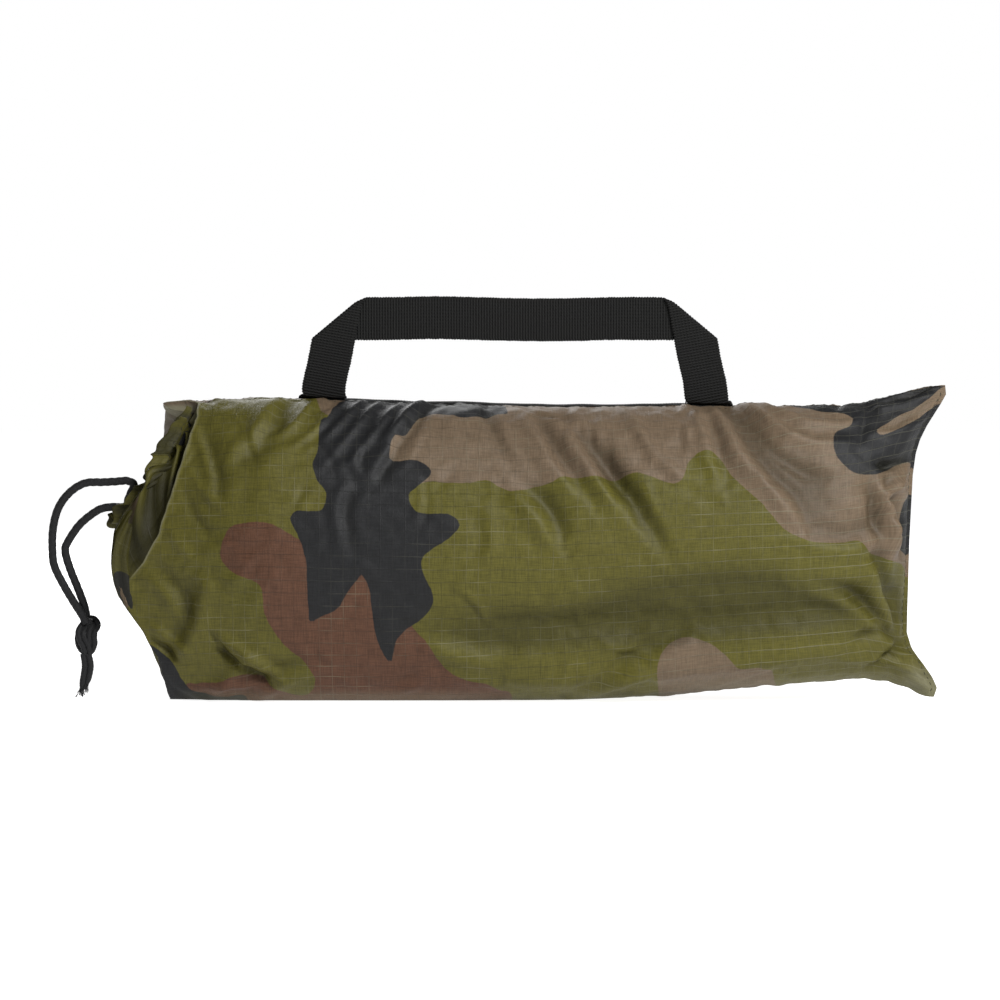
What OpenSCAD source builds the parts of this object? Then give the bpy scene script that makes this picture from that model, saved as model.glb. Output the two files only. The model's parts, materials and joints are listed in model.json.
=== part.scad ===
// Packed bivy sack: a rolled bivy inside a drawstring carry sack with a webbing handle.
// The sack stands on its long underside. +X runs to the sewn end, +Z runs up to the handle.
// The origin is on the floor, under the middle of the sack.

/* [Sack] */
// Length of the stuffed sack, from the mouth's corners to the end seam
sack_l = 434; // [424:2:446]
// Height of the top seam above the floor
sack_h = 170; // [168:1:172]
// Depth of the stuffed sack, front to back
sack_d = 118; // [114:1:122]
// Wall of the sack's cloth as modelled
cloth_t = 1.2; // [0.9:0.1:1.4]
// Length of the pointed corners that stand out past the end seam
ear_l = 20; // [12:1:24]
// Depth by which the floor flattens the round underside
sag = 5; // [4:0.5:6]

/* [Mouth] */
// Height of the gathered mouth's centre
mouth_z = 120; // [112:1:122]
// Outer radius of the gathered drawcord hem
hem_r = 20.5; // [19.5:0.5:21]
// Width of the hem, along the sack
hem_w = 20; // [18:1:22]
// Diameter of the drawcord
cord_d = 4; // [3:0.2:4.4]

/* [Handle] */
// Width of the webbing
web_w = 25; // [22:1:26]
// Thickness of the webbing
web_t = 1.4; // [1:0.1:1.6]
// Height of the grip's upper edge
grip_z = 233; // [224:1:240]
// Left end of the grip's upper edge
grip_x0 = -101.5; // [-104:0.5:-98]
// Right end of the grip's upper edge
grip_x1 = 72.5; // [70:0.5:76]
// Angle of the diagonal folds, from horizontal
fold_a = 40.7; // [39:0.1:43]

/* [Rolled bivy] */
// Left end of the roll
roll_x0 = -185; // [-186:1:-175]
// Right end of the roll
roll_x1 = 165; // [150:1:168]
// Turns of each sheet
turns = 3; // [2:1:3]
// Thickness of one sheet with its loft
sheet_t = 3; // [2:0.2:3]

/* [Hidden] */

camo_green = "#5f5c33";
cord_black = "#1c1c1e";
web_black = "#262624";
thread_black = "#202020";
liner_green = "#4c5034";

half_l = sack_l / 2;
dome_x = -half_l + 12;      // the sack's round stops and its left end starts to close
dome_l = 26;                // length of the closing left end
neck_x = dome_x - dome_l;   // plane of the gathered neck
neck_r = hem_r + 1.6;
ear_x = 150;                // the corners start to rise here
ear_rise = 12;              // height of the upper corner's tip above the top seam
ear_drop = 9;               // height that the underside loses again at the lower corner
end_lift = 9;               // the sewn end is stuffed less, so its underside lifts this far
seam_half_t = 1.6;          // half the thickness of the two layers in the end seam
ring_n = 32;                // points round a section
body_n = 16;                // sections along the body
dome_n = 5;                 // sections along the closing left end
stitch_pitch = 5;
stitch_t = 0.7;

function lerp(a, b, t) = a + (b - a) * t;
function clamp01(t) = min(1, max(0, t));
function ease(t) = let (c = clamp01(t)) c * c * (3 - 2 * c);

// ---- Sack outline, as functions of the distance along it ----

function ear(x) = pow(clamp01((x - ear_x) / (half_l - ear_x)), 3);
function top_z(x) = sack_h + ear_rise * ear(x);
function bottom_z(x) = -sag + (sag + end_lift) * ease(x / 180) - ear_drop * ear(x);
function left_fill(x) = lerp(0.8, 1, ease((x - dome_x) / 55));
function right_fill(x) = sqrt(1 - pow(clamp01((x - 120) / (half_l - 120)), 2.6));
function half_depth(x) = max(seam_half_t, sack_d / 2 * left_fill(x) * right_fill(x));
function mid_z(x) = (top_z(x) + bottom_z(x)) / 2;
function half_h(x) = (top_z(x) - bottom_z(x)) / 2;

// One section: angle a runs from the top seam round by the front.
function ring(x, zc, ry, rz, floor_z, ear_len = 0) = [
    for (k = [0:ring_n - 1])
        let (a = 90 + 360 * k / ring_n)
        [x + ear_len * pow(abs(sin(a)), 6), ry * cos(a), max(floor_z, zc + rz * sin(a))]
];

// Section j of the left end, from the neck (0) to the body (dome_n).
function dome_ring(j, inset) =
    let (phi = 90 * (1 - j / dome_n), c = cos(phi), r = neck_r - inset)
    ring(dome_x - dome_l * sin(phi), lerp(mouth_z, mid_z(dome_x), c),
         lerp(r, half_depth(dome_x) - inset, c), lerp(r, half_h(dome_x) - inset, c), inset);

// Section i of the body. Sections crowd towards the end seam, where the sack closes.
function body_ring(i, inset) =
    let (v = 1 - pow(1 - i / body_n, 1.7), stop = half_l - (inset > 0 ? 9 : 0),
         x = lerp(dome_x, stop, v))
    ring(x, mid_z(x), half_depth(x) - inset, half_h(x) - inset, inset,
         inset > 0 ? 0 : ear_l * pow(v, 8));

function shell_rings(inset) = concat(
    [for (j = [0:dome_n]) dome_ring(j, inset)],
    [for (i = [1:body_n]) body_ring(i, inset)]
);

function side_faces(rows, first) = [
    for (r = [0:rows - 2], k = [0:ring_n - 1])
        let (a = first + r * ring_n + k, b = first + r * ring_n + (k + 1) % ring_n)
        each [[a, b, a + ring_n], [b, b + ring_n, a + ring_n]]
];

// The flat end of a closed row: each front point joins its mirror image at the back.
function end_faces(first) = concat(
    [[first, first + 1, first + ring_n - 1],
     [first + ring_n / 2 - 1, first + ring_n / 2, first + ring_n / 2 + 1]],
    [for (k = [1:ring_n / 2 - 2])
        let (m = ring_n - k)
        each [[first + k, first + k + 1, first + m], [first + k + 1, first + m - 1, first + m]]]
);

function flip(faces) = [for (f = faces) [f[2], f[1], f[0]]];

module sack_cloth() {
    outer = shell_rings(0);
    inner = shell_rings(cloth_t);
    rows = len(outer);
    inner_first = rows * ring_n;
    points = [for (row = concat(outer, inner)) each row];
    rim = [
        for (k = [0:ring_n - 1])
            let (b = (k + 1) % ring_n)
            each [[k, b, inner_first + k], [b, inner_first + b, inner_first + k]]
    ];
    color(camo_green)
        polyhedron(points, flip(concat(
            flip(side_faces(rows, 0)),
            flip(end_faces((rows - 1) * ring_n)),
            side_faces(rows, inner_first),
            end_faces(inner_first + (rows - 1) * ring_n),
            rim)), convexity = 8);
}

// ---- Mouth and drawcord ----

hem_x1 = neck_x + 1;                 // the hem starts just inside the neck
hem_x0 = hem_x1 - hem_w;
hem_wall = 0.9;
channel_half = 2.6;
channel_r = hem_r - hem_wall - channel_half;   // radius at which the cord runs in the hem
cord_r = cord_d / 2;
ball_r = cord_r + 0.15;              // a ball ends each strand where it turns
hole_gap = 0.35;
ring_cord_x = hem_x1 - 3.2;
exit_dz = 6;                         // the two strands leave this far above and below the centre
exit_y = -sqrt(channel_r * channel_r - exit_dz * exit_dz);
joint_gap = 0.1;                     // gap between a strand's end and the ball that turns against it
swing_x = hem_x0 - 2.4;              // upright axis through both strands, just outside the hem
root_x1 = ring_cord_x - cord_r - 0.4;

module mouth_hem() {
    color(camo_green)
        difference() {
            translate([hem_x0, 0, mouth_z]) rotate([0, 90, 0])
                rotate_extrude($fn = 48)
                    difference() {
                        translate([channel_r - channel_half - hem_wall, 0])
                            square([2 * (channel_half + hem_wall), hem_w]);
                        translate([channel_r - channel_half, 1])
                            square([2 * channel_half, hem_w - 2]);
                    }
            for (dz = [-exit_dz, exit_dz])
                translate([hem_x0 - 1, exit_y, mouth_z + dz]) rotate([0, 90, 0])
                    cylinder(r = cord_r + hole_gap, h = 3, $fn = 32);
        }
}

module cord_in_hem() {
    color(cord_black)
        translate([ring_cord_x, 0, mouth_z]) rotate([0, 90, 0])
            rotate_extrude($fn = 48) translate([channel_r, 0]) circle(r = cord_r - 0.1, $fn = 24);
}

module cord_roots() {
    x0 = swing_x + ball_r + joint_gap;
    color(cord_black)
        for (dz = [-exit_dz, exit_dz])
            translate([x0, exit_y, mouth_z + dz]) rotate([0, 90, 0])
                cylinder(r = cord_r, h = root_x1 - x0, $fn = 32);
}

// Smooth curve through control points: t runs from 0 to the number of spans.
function spline(p, t) =
    let (n = len(p) - 1, i = min(n - 1, floor(t)), f = t - i,
         a = p[max(0, i - 1)], b = p[i], c = p[i + 1], d = p[min(n, i + 2)])
    0.5 * (2 * b + (c - a) * f + (2 * a - 5 * b + 4 * c - d) * f * f
           + (3 * b - a - 3 * c + d) * f * f * f);

function spline_points(p, per_span) =
    [for (i = [0:(len(p) - 1) * per_span]) spline(p, i / per_span)];

function unit(v) = v / norm(v);

// Round cord along a list of points. The path never runs along the lean direction.
module cord_along(path, r, closed = false, sides = 10, lean = [0, 1, 0]) {
    n = len(path);
    points = [
        for (i = [0:n - 1])
            let (before = closed ? path[(i + n - 1) % n] : path[max(0, i - 1)],
                 after = closed ? path[(i + 1) % n] : path[min(n - 1, i + 1)],
                 t = unit(after - before), u = unit(cross(lean, t)), w = cross(t, u))
            each [for (k = [0:sides - 1])
                path[i] + r * (cos(360 * k / sides) * u + sin(360 * k / sides) * w)]
    ];
    walls = [
        for (i = [0:n - (closed ? 1 : 2)], k = [0:sides - 1])
            let (a = i * sides + k, b = i * sides + (k + 1) % sides,
                 c = ((i + 1) % n) * sides + k, d = ((i + 1) % n) * sides + (k + 1) % sides)
            each [[a, c, b], [b, c, d]]
    ];
    caps = closed ? [] : [
        [for (k = [0:sides - 1]) k],
        [for (k = [sides - 1:-1:0]) (n - 1) * sides + k]
    ];
    polyhedron(points, concat(walls, caps), convexity = 6);
}

module cord_ball(at) {
    translate(at) sphere(r = ball_r, $fn = 24);
}

// The two loose strands hang from the hem to the knot. Each runs round an upper bend,
// which ends on the sway axis, and then drops to the knot.
sway_z = mouth_z - 34;
sway_y = exit_y + 0.9;
sway_x_upper = swing_x - 29.6;
sway_x_lower = swing_x - 22.2;
knot_x = swing_x - 10.6;
knot_y = exit_y + 2.9;
knot_top_z = 47;
strand_dy = 2.4;      // at the knot one strand runs behind the other

upper_bend = [
    [swing_x, exit_y, mouth_z + exit_dz], [swing_x - 9, exit_y, mouth_z + exit_dz - 0.4],
    [swing_x - 19, exit_y, mouth_z + 0.5], [swing_x - 25.8, exit_y + 0.4, mouth_z - 9],
    [swing_x - 29.2, exit_y + 0.7, mouth_z - 21], [sway_x_upper, sway_y, sway_z + ball_r + joint_gap]
];
lower_bend = [
    [swing_x, exit_y, mouth_z - exit_dz], [swing_x - 6, exit_y, mouth_z - exit_dz - 2.5],
    [swing_x - 14, exit_y + 0.4, mouth_z - 18], [swing_x - 20.5, exit_y + 0.7, mouth_z - 26.5],
    [sway_x_lower, sway_y, sway_z + ball_r + joint_gap]
];
upper_drop = [
    [sway_x_upper, sway_y, sway_z], [sway_x_upper + 1, sway_y, sway_z - 9],
    [sway_x_upper + 6.5, sway_y, sway_z - 18], [knot_x - 4, sway_y, sway_z - 27],
    [knot_x, knot_y - strand_dy, knot_top_z + ball_r + 5],
    [knot_x, knot_y - strand_dy, knot_top_z + ball_r + joint_gap]
];
lower_drop = [
    [sway_x_lower, sway_y, sway_z], [sway_x_lower + 2.5, sway_y, sway_z - 10],
    [knot_x - 2.2, sway_y + 3.6, sway_z - 23],
    [knot_x, knot_y + strand_dy, knot_top_z + ball_r + 5],
    [knot_x, knot_y + strand_dy, knot_top_z + ball_r + joint_gap]
];
span_points = 5;

module ball_ended_strand(path) {
    color(cord_black)
        union() {
            cord_ball(path[0]);
            cord_along(spline_points(path, span_points), cord_r);
        }
}

module cord_upper_bend() { ball_ended_strand(upper_bend); }
module cord_lower_bend() { ball_ended_strand(lower_bend); }
module cord_upper_drop() { ball_ended_strand(upper_drop); }
module cord_lower_drop() { ball_ended_strand(lower_drop); }

// The knot is a three-lobed loop. Both strands run into the top of it.
knot_c = [knot_x, knot_y, 36];
knot_scale = 2.5;
knot_depth = 2.3;     // half the front-to-back offset where it crosses itself
knot_cord_r = cord_r - 0.3;
knot_points = 42;

module cord_knot() {
    color(cord_black)
        union() {
            cord_along([
                for (i = [0:knot_points - 1])
                    let (t = 360 * i / knot_points)
                    knot_c + [knot_scale * (sin(t) + 2 * sin(2 * t)), -knot_depth * sin(3 * t),
                              -knot_scale * (cos(t) - 2 * cos(2 * t))]
            ], knot_cord_r, closed = true, sides = 8);
            for (side = [-1, 1]) {
                cord_ball([knot_x, knot_y + side * strand_dy, knot_top_z]);
                cord_along([
                    [knot_x, knot_y + side * strand_dy, knot_top_z],
                    [knot_x, knot_y + side * 1.2, knot_c[2] + 6]
                ], knot_cord_r);
            }
        }
}

module cord_tails() {
    top_z = knot_c[2] - 4;
    tip_z = 3.5;
    color(cord_black)
        for (side = [-1, 1])
            cord_along([
                for (i = [0:6])
                    let (f = i / 6)
                    [knot_x - 1 + side * 1.9 - 3 * f * f, knot_y + side * 0.8, lerp(top_z, tip_z, f)]
            ], knot_cord_r, sides = 8);
}

// ---- Handle ----

flop_z = sack_h + 6;                // axis on which the free handle turns
leg_gap = 0.5;
foot_gap = 1.8;                     // clear height between a foot and the axis
fold_run = web_w / tan(fold_a);     // horizontal run of a diagonal fold across the webbing
run_z = mid_z(0);                   // the top seam's section is an ellipse about this height

function leg_shift(z) = (grip_z - z) / tan(2 * fold_a); // outward drift of a leg's edge

// Leg of the free handle: s is -1 for the left leg and 1 for the right one.
function leg_outline(s, x) =
    let (z0 = flop_z + leg_gap, corner_z = grip_z - web_w)
    [
        [x, grip_z], [x + s * leg_shift(z0), z0],
        [x + s * (fold_run + leg_shift(z0) - leg_shift(corner_z)), z0],
        [x + s * fold_run, corner_z]
    ];

module upright_plate(outline, y0, t) {
    translate([0, y0 + t, 0]) rotate([90, 0, 0]) linear_extrude(t) polygon(outline);
}

module handle_webbing() {
    color(web_black) {
        upright_plate([
            [grip_x0, grip_z], [grip_x0 - fold_run, grip_z - web_w],
            [grip_x1 + fold_run, grip_z - web_w], [grip_x1, grip_z]
        ], 0, web_t);
        upright_plate(leg_outline(-1, grip_x0), -web_t, web_t);
        upright_plate(leg_outline(1, grip_x1), -web_t, web_t);
    }
}

// Band that lies on the back of the sack: from angle a0 to a1, between two heights above the cloth.
band_steps = 8;
function over_cloth(a, d) = [(sack_d / 2 + d) * cos(a), run_z + (half_h(0) + d) * sin(a)];
function back_band(a0, a1, low, high) = concat(
    [for (i = [0:band_steps]) over_cloth(lerp(a0, a1, i / band_steps), low)],
    [for (i = [band_steps:-1:0]) over_cloth(lerp(a0, a1, i / band_steps), high)]
);

band_a1 = 90 - web_w / (sack_d / 2) * 180 / PI;
run_low = 0.9;
foot_low = run_low + web_t + 0.2;
foot_x0 = grip_x0 - fold_run - leg_shift(flop_z) + leg_shift(grip_z - web_w);
foot_x1 = grip_x1 + leg_shift(flop_z);

module along_x(x0, x1) {
    translate([x0, 0, 0]) rotate([90, 0, 90]) linear_extrude(x1 - x0) children();
}

module handle_seam_run() {
    color(web_black)
        along_x(foot_x0, foot_x1 + web_w) polygon(back_band(88, band_a1, run_low, run_low + web_t));
}

module handle_foot(x0) {
    upright_h = flop_z - foot_gap - sack_h - foot_low;
    color(web_black)
        along_x(x0, x0 + web_w) {
            polygon(back_band(90, band_a1, foot_low, foot_low + web_t));
            translate([-web_t, sack_h + foot_low]) square([web_t + 0.1, upright_h]);
        }
}

module handle_left_foot() { handle_foot(foot_x0); }
module handle_right_foot() { handle_foot(foot_x1); }

// Thread bars across each foot, through the webbing.
module handle_bartacks() {
    inset = 3;        // from the edges of the webbing
    half_a = 0.8;     // half the angle that a bar covers round the sack
    bite = 0.4;       // depth of the bar in the webbing
    proud = 0.6;
    color(thread_black)
        for (x0 = [foot_x0, foot_x1], a = [86, band_a1 + 4])
            along_x(x0 + inset, x0 + web_w - inset)
                polygon(back_band(a + half_a, a - half_a, foot_low + web_t - bite, foot_low + web_t + proud));
}

// ---- Seam threads: each passes through the cloth that it holds ----

module hem_stitches() {
    count = 24;
    color(thread_black)
        for (k = [0:count - 1])
            translate([hem_x1 - 4, 0, mouth_z]) rotate([360 * k / count, 0, 0])
                translate([0, 0, hem_r - hem_wall / 2])
                    cube([stitch_t, 3, hem_wall + stitch_t], center = true);
}

module top_seam_stitches() {
    color(thread_black)
        for (x = [dome_x + 8:stitch_pitch:ear_x])
            translate([x, -1.6, sack_h - 0.2]) cube([stitch_t, 3, stitch_t]);
}

module end_seam_stitches() {
    color(thread_black)
        for (w = [-0.94:0.06:0.94])
            translate([half_l + ear_l * pow(abs(w), 6), 0, mid_z(half_l) + half_h(half_l) * w])
                cube([stitch_t * 2, 2 * seam_half_t + 0.8, stitch_t], center = true);
}

// ---- Rolled bivy ----

roll_z = 86;
roll_ry = 48;
roll_rz = 75;
pitch = 2 * sheet_t + 2;
steps = 36;

// Spiral strip: each turn lies one pitch inside the turn before it.
function spiral(offset_in, t) =
    let (n = turns * steps, at = function (i, d)
        let (a = 360 * i / steps, r = offset_in + pitch * i / steps + d)
        [(roll_ry - r) * cos(a), roll_z + (roll_rz - r) * sin(a)])
    concat([for (i = [0:n]) at(i, 0)], [for (i = [n:-1:0]) at(i, t)]);

module bivy_groundsheet() {
    color(liner_green) along_x(roll_x0, roll_x1) polygon(spiral(0, sheet_t));
}

module bivy_top_sheet() {
    color(camo_green) along_x(roll_x0 + 6, roll_x1 - 6) polygon(spiral(sheet_t + 1, sheet_t));
}

function roll_oval(d) = [
    for (i = [0:steps - 1])
        let (a = 360 * i / steps)
        [(roll_ry + d) * cos(a), roll_z + (roll_rz + d) * sin(a)]
];

tie_w = 15;

module roll_ties() {
    color(web_black)
        for (x = [roll_x0 + 80, roll_x1 - 80 - tie_w])
            along_x(x, x + tie_w)
                difference() {
                    polygon(roll_oval(2.2));
                    polygon(roll_oval(1));
                }
}

// The roll's hollow core holds the hood's drawcord with its lock, and the entry zip.
lock_c = [-145, 0, 90];
barrel_r = 8;
barrel_wall = 1.4;
barrel_z0 = -17;  // heights here are from the middle of the lock's cord slot
barrel_z1 = 8;
plunger_gap = 0.2;
plunger_z0 = -8;
plunger_z1 = 20;
press = 4;        // travel of the lock's button
hood_cord_r = 1.6;
hood_cord_dz = 3; // the two strands cross the lock this far above and below its middle
slot_half = hood_cord_r + 0.5;
loop_r = 16;
loop_x = 55;

module hood_drawcord() {
    end_x = -14;      // the strands end here, past the lock
    spread_x = 12;    // and spread to the loop from here
    spread = [for (i = [1:6]) [lerp(spread_x, loop_x, i / 6), 0, lerp(hood_cord_dz, loop_r, ease(i / 6))]];
    upper = concat([for (x = [end_x, 0, spread_x]) [x, 0, hood_cord_dz]], spread);
    path = concat(
        [for (p = upper) [p[0], 0, -p[2]]],
        [for (a = [-72:18:72]) [loop_x + loop_r * cos(a), 0, loop_r * sin(a)]],
        [for (i = [len(upper) - 1:-1:0]) upper[i]]
    );
    color(cord_black) translate(lock_c) cord_along(path, hood_cord_r);
}

// Slot across the lock for both strands. It is taller in the button, which moves past them.
module strand_slot(extra) {
    z0 = -hood_cord_dz - slot_half;
    translate([-barrel_r - 1, -slot_half, z0])
        cube([2 * barrel_r + 2, 2 * slot_half, 2 * (hood_cord_dz + slot_half) + extra]);
}

module cord_lock_barrel() {
    color("#2b2b2b")
        translate(lock_c)
            difference() {
                translate([0, 0, barrel_z0]) cylinder(r = barrel_r, h = barrel_z1 - barrel_z0, $fn = 48);
                translate([0, 0, barrel_z0 + barrel_wall])
                    cylinder(r = barrel_r - barrel_wall, h = barrel_z1 - barrel_z0, $fn = 48);
                strand_slot(0);
            }
}

module cord_lock_plunger() {
    color("#3a3a3a")
        translate(lock_c)
            difference() {
                translate([0, 0, plunger_z0])
                    cylinder(r = barrel_r - barrel_wall - plunger_gap, h = plunger_z1 - plunger_z0, $fn = 48);
                strand_slot(press);
            }
}

module cord_lock_spring() {
    coils = 3;
    coil_points = 16;
    count = coils * coil_points;
    mean_r = 4;
    wire_r = 0.45;
    low = barrel_z0 + barrel_wall + wire_r + 0.2;
    high = plunger_z0 - wire_r - 0.2;
    color("silver")
        cord_along([
            for (i = [0:count])
                let (a = 360 * i / coil_points)
                lock_c + [mean_r * cos(a), mean_r * sin(a), lerp(low, high, i / count)]
        ], wire_r, sides = 6, lean = [0, 0, 1]);
}

// The zip is closed: its slider stands at the right end, past the last of the coil.
zip_x0 = -55;
zip_x1 = 150;
zip_z = 86;
coil_r = 2;
tape_w = 11;
tape_t = 0.8;
zip_gap = 0.35;
slider_x = zip_x1 - 14;
slider_l = 11;
slider_w = 10;
slider_half_h = coil_r + 1.6;
nose_x = 7.5;       // the slider's two plates join here, past the coil
nose_half = 1.6;
arch_half_w = 1;
bar_x = 5;          // the pull's crossbar lies under the arch
bar_z = slider_half_h + 1;
bar_r = 0.7;

module zip_tapes() {
    color(web_black)
        for (y = [coil_r + 0.15, -coil_r - 0.15 - tape_w])
            translate([zip_x0, y, zip_z - tape_t / 2]) cube([zip_x1 - zip_x0, tape_w, tape_t]);
}

module zip_coil() {
    color("#2e2e2e")
        translate([zip_x0, 0, zip_z]) rotate([0, 90, 0])
            cylinder(r = coil_r, h = slider_x + nose_x - zip_gap - zip_x0, $fn = 32);
}

module zip_slider() {
    slot_h = tape_t + 2 * zip_gap;
    arch_x = 1;
    arch_l = 8;
    arch_h = 3;
    arch_post = 1.4;
    arch_bar = 1;
    color("#3b3b3b")
        translate([slider_x, 0, zip_z]) {
            difference() {
                translate([0, -slider_w / 2, -slider_half_h])
                    cube([slider_l, slider_w, 2 * slider_half_h]);
                translate([-1, 0, 0]) rotate([0, 90, 0])
                    cylinder(r = coil_r + zip_gap, h = nose_x + 1, $fn = 32);
                translate([-1, -slider_w, -slot_h / 2]) cube([nose_x + 1, 2 * slider_w, slot_h]);
                for (y = [nose_half, -nose_half - slider_w])
                    translate([nose_x - 1, y, -slot_h / 2]) cube([slider_l, slider_w, slot_h]);
            }
            // Arch that holds the pull
            difference() {
                translate([arch_x, -arch_half_w, slider_half_h - 0.1])
                    cube([arch_l, 2 * arch_half_w, arch_h + 0.1]);
                translate([arch_x + arch_post, -slider_w, slider_half_h])
                    cube([arch_l - 2 * arch_post, 2 * slider_w, arch_h - arch_bar]);
            }
        }
}

module zip_pull() {
    arm_y0 = arch_half_w + 0.6;
    arm_w = 1.6;
    pull_t = 1.2;
    window_l = 5.5;
    pull_l = 22;
    color("#3b3b3b")
        translate([slider_x + bar_x, 0, zip_z + bar_z]) {
            rotate([90, 0, 0]) cylinder(r = bar_r, h = 2 * (arm_y0 + arm_w), center = true, $fn = 24);
            for (y = [arm_y0, -arm_y0 - arm_w])
                translate([-window_l - 1, y, -pull_t / 2]) cube([window_l + 1, arm_w, pull_t]);
            translate([-pull_l, -arm_y0 - arm_w, -pull_t / 2])
                cube([pull_l - window_l, 2 * (arm_y0 + arm_w), pull_t]);
        }
}

sack_cloth();
mouth_hem();
hem_stitches();
top_seam_stitches();
end_seam_stitches();
handle_webbing();
handle_left_foot();
handle_right_foot();
handle_seam_run();
handle_bartacks();
cord_in_hem();
cord_roots();
cord_upper_bend();
cord_lower_bend();
cord_upper_drop();
cord_lower_drop();
cord_knot();
cord_tails();
bivy_groundsheet();
bivy_top_sheet();
roll_ties();
hood_drawcord();
cord_lock_barrel();
cord_lock_plunger();
cord_lock_spring();
zip_tapes();
zip_coil();
zip_slider();
zip_pull();
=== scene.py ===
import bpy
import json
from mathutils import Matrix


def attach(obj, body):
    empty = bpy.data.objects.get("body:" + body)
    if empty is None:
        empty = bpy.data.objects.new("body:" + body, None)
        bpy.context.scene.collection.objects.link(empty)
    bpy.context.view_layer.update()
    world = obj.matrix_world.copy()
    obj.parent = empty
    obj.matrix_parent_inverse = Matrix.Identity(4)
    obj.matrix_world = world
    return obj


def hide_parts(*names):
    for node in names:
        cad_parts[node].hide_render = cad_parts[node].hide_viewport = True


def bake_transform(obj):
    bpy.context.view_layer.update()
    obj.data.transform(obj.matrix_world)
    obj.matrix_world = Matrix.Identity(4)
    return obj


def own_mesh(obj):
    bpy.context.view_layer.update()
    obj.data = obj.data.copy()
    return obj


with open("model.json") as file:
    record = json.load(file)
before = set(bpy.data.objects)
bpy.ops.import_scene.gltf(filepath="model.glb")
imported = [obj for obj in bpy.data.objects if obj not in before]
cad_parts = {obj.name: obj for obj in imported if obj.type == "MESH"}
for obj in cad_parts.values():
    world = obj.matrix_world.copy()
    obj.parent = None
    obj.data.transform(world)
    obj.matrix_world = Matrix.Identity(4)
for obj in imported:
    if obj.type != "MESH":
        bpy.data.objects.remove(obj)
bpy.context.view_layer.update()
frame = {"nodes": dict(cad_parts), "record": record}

import json
import math

import bpy
import numpy as np
from mathutils import Vector

# Lengths are in millimetres until a mesh is made. +X runs to the sewn end, +Z up to the handle,
# and the front of the sack faces -Y.
MM = 0.001
SLOTS = {row["node"]: row["material_slot"] for row in frame["record"]["subparts"]}

# ------------------------------------------------------------------ small helpers


def smooth(t):
    t = np.clip(t, 0, 1)
    return t * t * (3 - 2 * t)


def lerp(a, b, t):
    return a + (b - a) * t


def unit(v):
    return v / np.maximum(np.linalg.norm(v, axis=-1, keepdims=True), 1e-9)


def catmull(points, per=8, closed=False):
    """Smooth curve through points: per samples for each span."""
    p = np.asarray(points, float)
    n = len(p)
    t = np.linspace(0, 1, per, endpoint=False)[:, None]
    out = []
    for i in range(n if closed else n - 1):
        a, b, c, d = (p[(i + k) % n] if closed else p[min(max(i + k, 0), n - 1)] for k in (-1, 0, 1, 2))
        square, cube = 2 * a - 5 * b + 4 * c - d, 3 * b - a - 3 * c + d
        out.append(0.5 * (2 * b + (c - a) * t + square * t**2 + cube * t**3))
    if not closed:
        out.append(p[-1:])
    return np.concatenate(out)


def run_along(points):
    """Distance along a path, or along each column of a grid of points."""
    steps = np.linalg.norm(np.diff(points, axis=0), axis=-1)
    return np.concatenate([np.zeros_like(steps[:1]), np.cumsum(steps, axis=0)])


def at_run(s, run, points):
    """The points' values at distances s along their path."""
    return np.stack([np.interp(s, run, column) for column in points.T], -1)


def even(path, step):
    """The same path with points at even steps along it."""
    run = run_along(path)
    return at_run(np.linspace(0, run[-1], max(2, int(round(run[-1] / step)) + 1)), run, path)


def mesh_object(name, verts, faces, material, attributes=None):
    mesh = bpy.data.meshes.new(name)
    mesh.from_pydata((np.asarray(verts, float) * MM).tolist(), [], [list(map(int, f)) for f in faces])
    mesh.validate()
    mesh.polygons.foreach_set("use_smooth", [True] * len(mesh.polygons))
    for key, values in (attributes or {}).items():
        layer = mesh.attributes.new(key, "FLOAT", "POINT")
        layer.data.foreach_set("value", np.asarray(values, np.float32).ravel())
    obj = bpy.data.objects.new(name, mesh)
    bpy.context.scene.collection.objects.link(obj)
    mesh.materials.append(material)
    mesh.update()
    return obj


def place(obj, *nodes, body="sack"):
    """Lets a mesh ride its body and stand for its CAD nodes. A blend has no body."""
    if body:
        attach(obj, body)
    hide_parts(*nodes)


def grid_faces(rows, cols, wrap_rows=False, wrap_cols=False, first=0):
    i = np.arange(rows if wrap_rows else rows - 1)[:, None]
    j = np.arange(cols if wrap_cols else cols - 1)[None, :]
    a = i * cols + j
    b = i * cols + (j + 1) % cols
    c = ((i + 1) % rows) * cols + (j + 1) % cols
    d = ((i + 1) % rows) * cols + j
    return (np.stack([a, b, c, d], -1).reshape(-1, 4) + first).tolist()


def end_caps(rows, cols):
    """Faces that close both ends of a grid whose columns wrap round."""
    return [list(range(cols))[::-1], list(range((rows - 1) * cols, rows * cols))]


def grid_normals(p):
    """Unit normals of a grid of points, facing away from the rows x columns right-hand turn."""
    du = np.gradient(p, axis=0)
    dv = np.gradient(p, axis=1)
    return unit(np.cross(dv, du))


def noise1(n, step, rng):
    """Smooth random values, one every step samples, with spread about 1."""
    knots = rng.normal(size=int(n / step) + 4)
    x = np.arange(n) / step
    i = x.astype(int)
    return lerp(knots[i], knots[i + 1], smooth(x - i))


# ------------------------------------------------------------------ materials


def scaled(color, by):
    return tuple(c * by for c in color)


def new_material(name, roughness=0.6, color=(0.5, 0.5, 0.5), metallic=0.0, specular=0.4, sheen=0.0):
    mat = bpy.data.materials.new(name)
    mat.use_nodes = True
    shader = mat.node_tree.nodes["Principled BSDF"]
    shader.inputs["Base Color"].default_value = (*color, 1)
    shader.inputs["Roughness"].default_value = roughness
    shader.inputs["Metallic"].default_value = metallic
    shader.inputs["Specular IOR Level"].default_value = specular
    shader.inputs["Sheen Weight"].default_value = sheen
    shader.inputs["Sheen Roughness"].default_value = 0.4
    return mat


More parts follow.
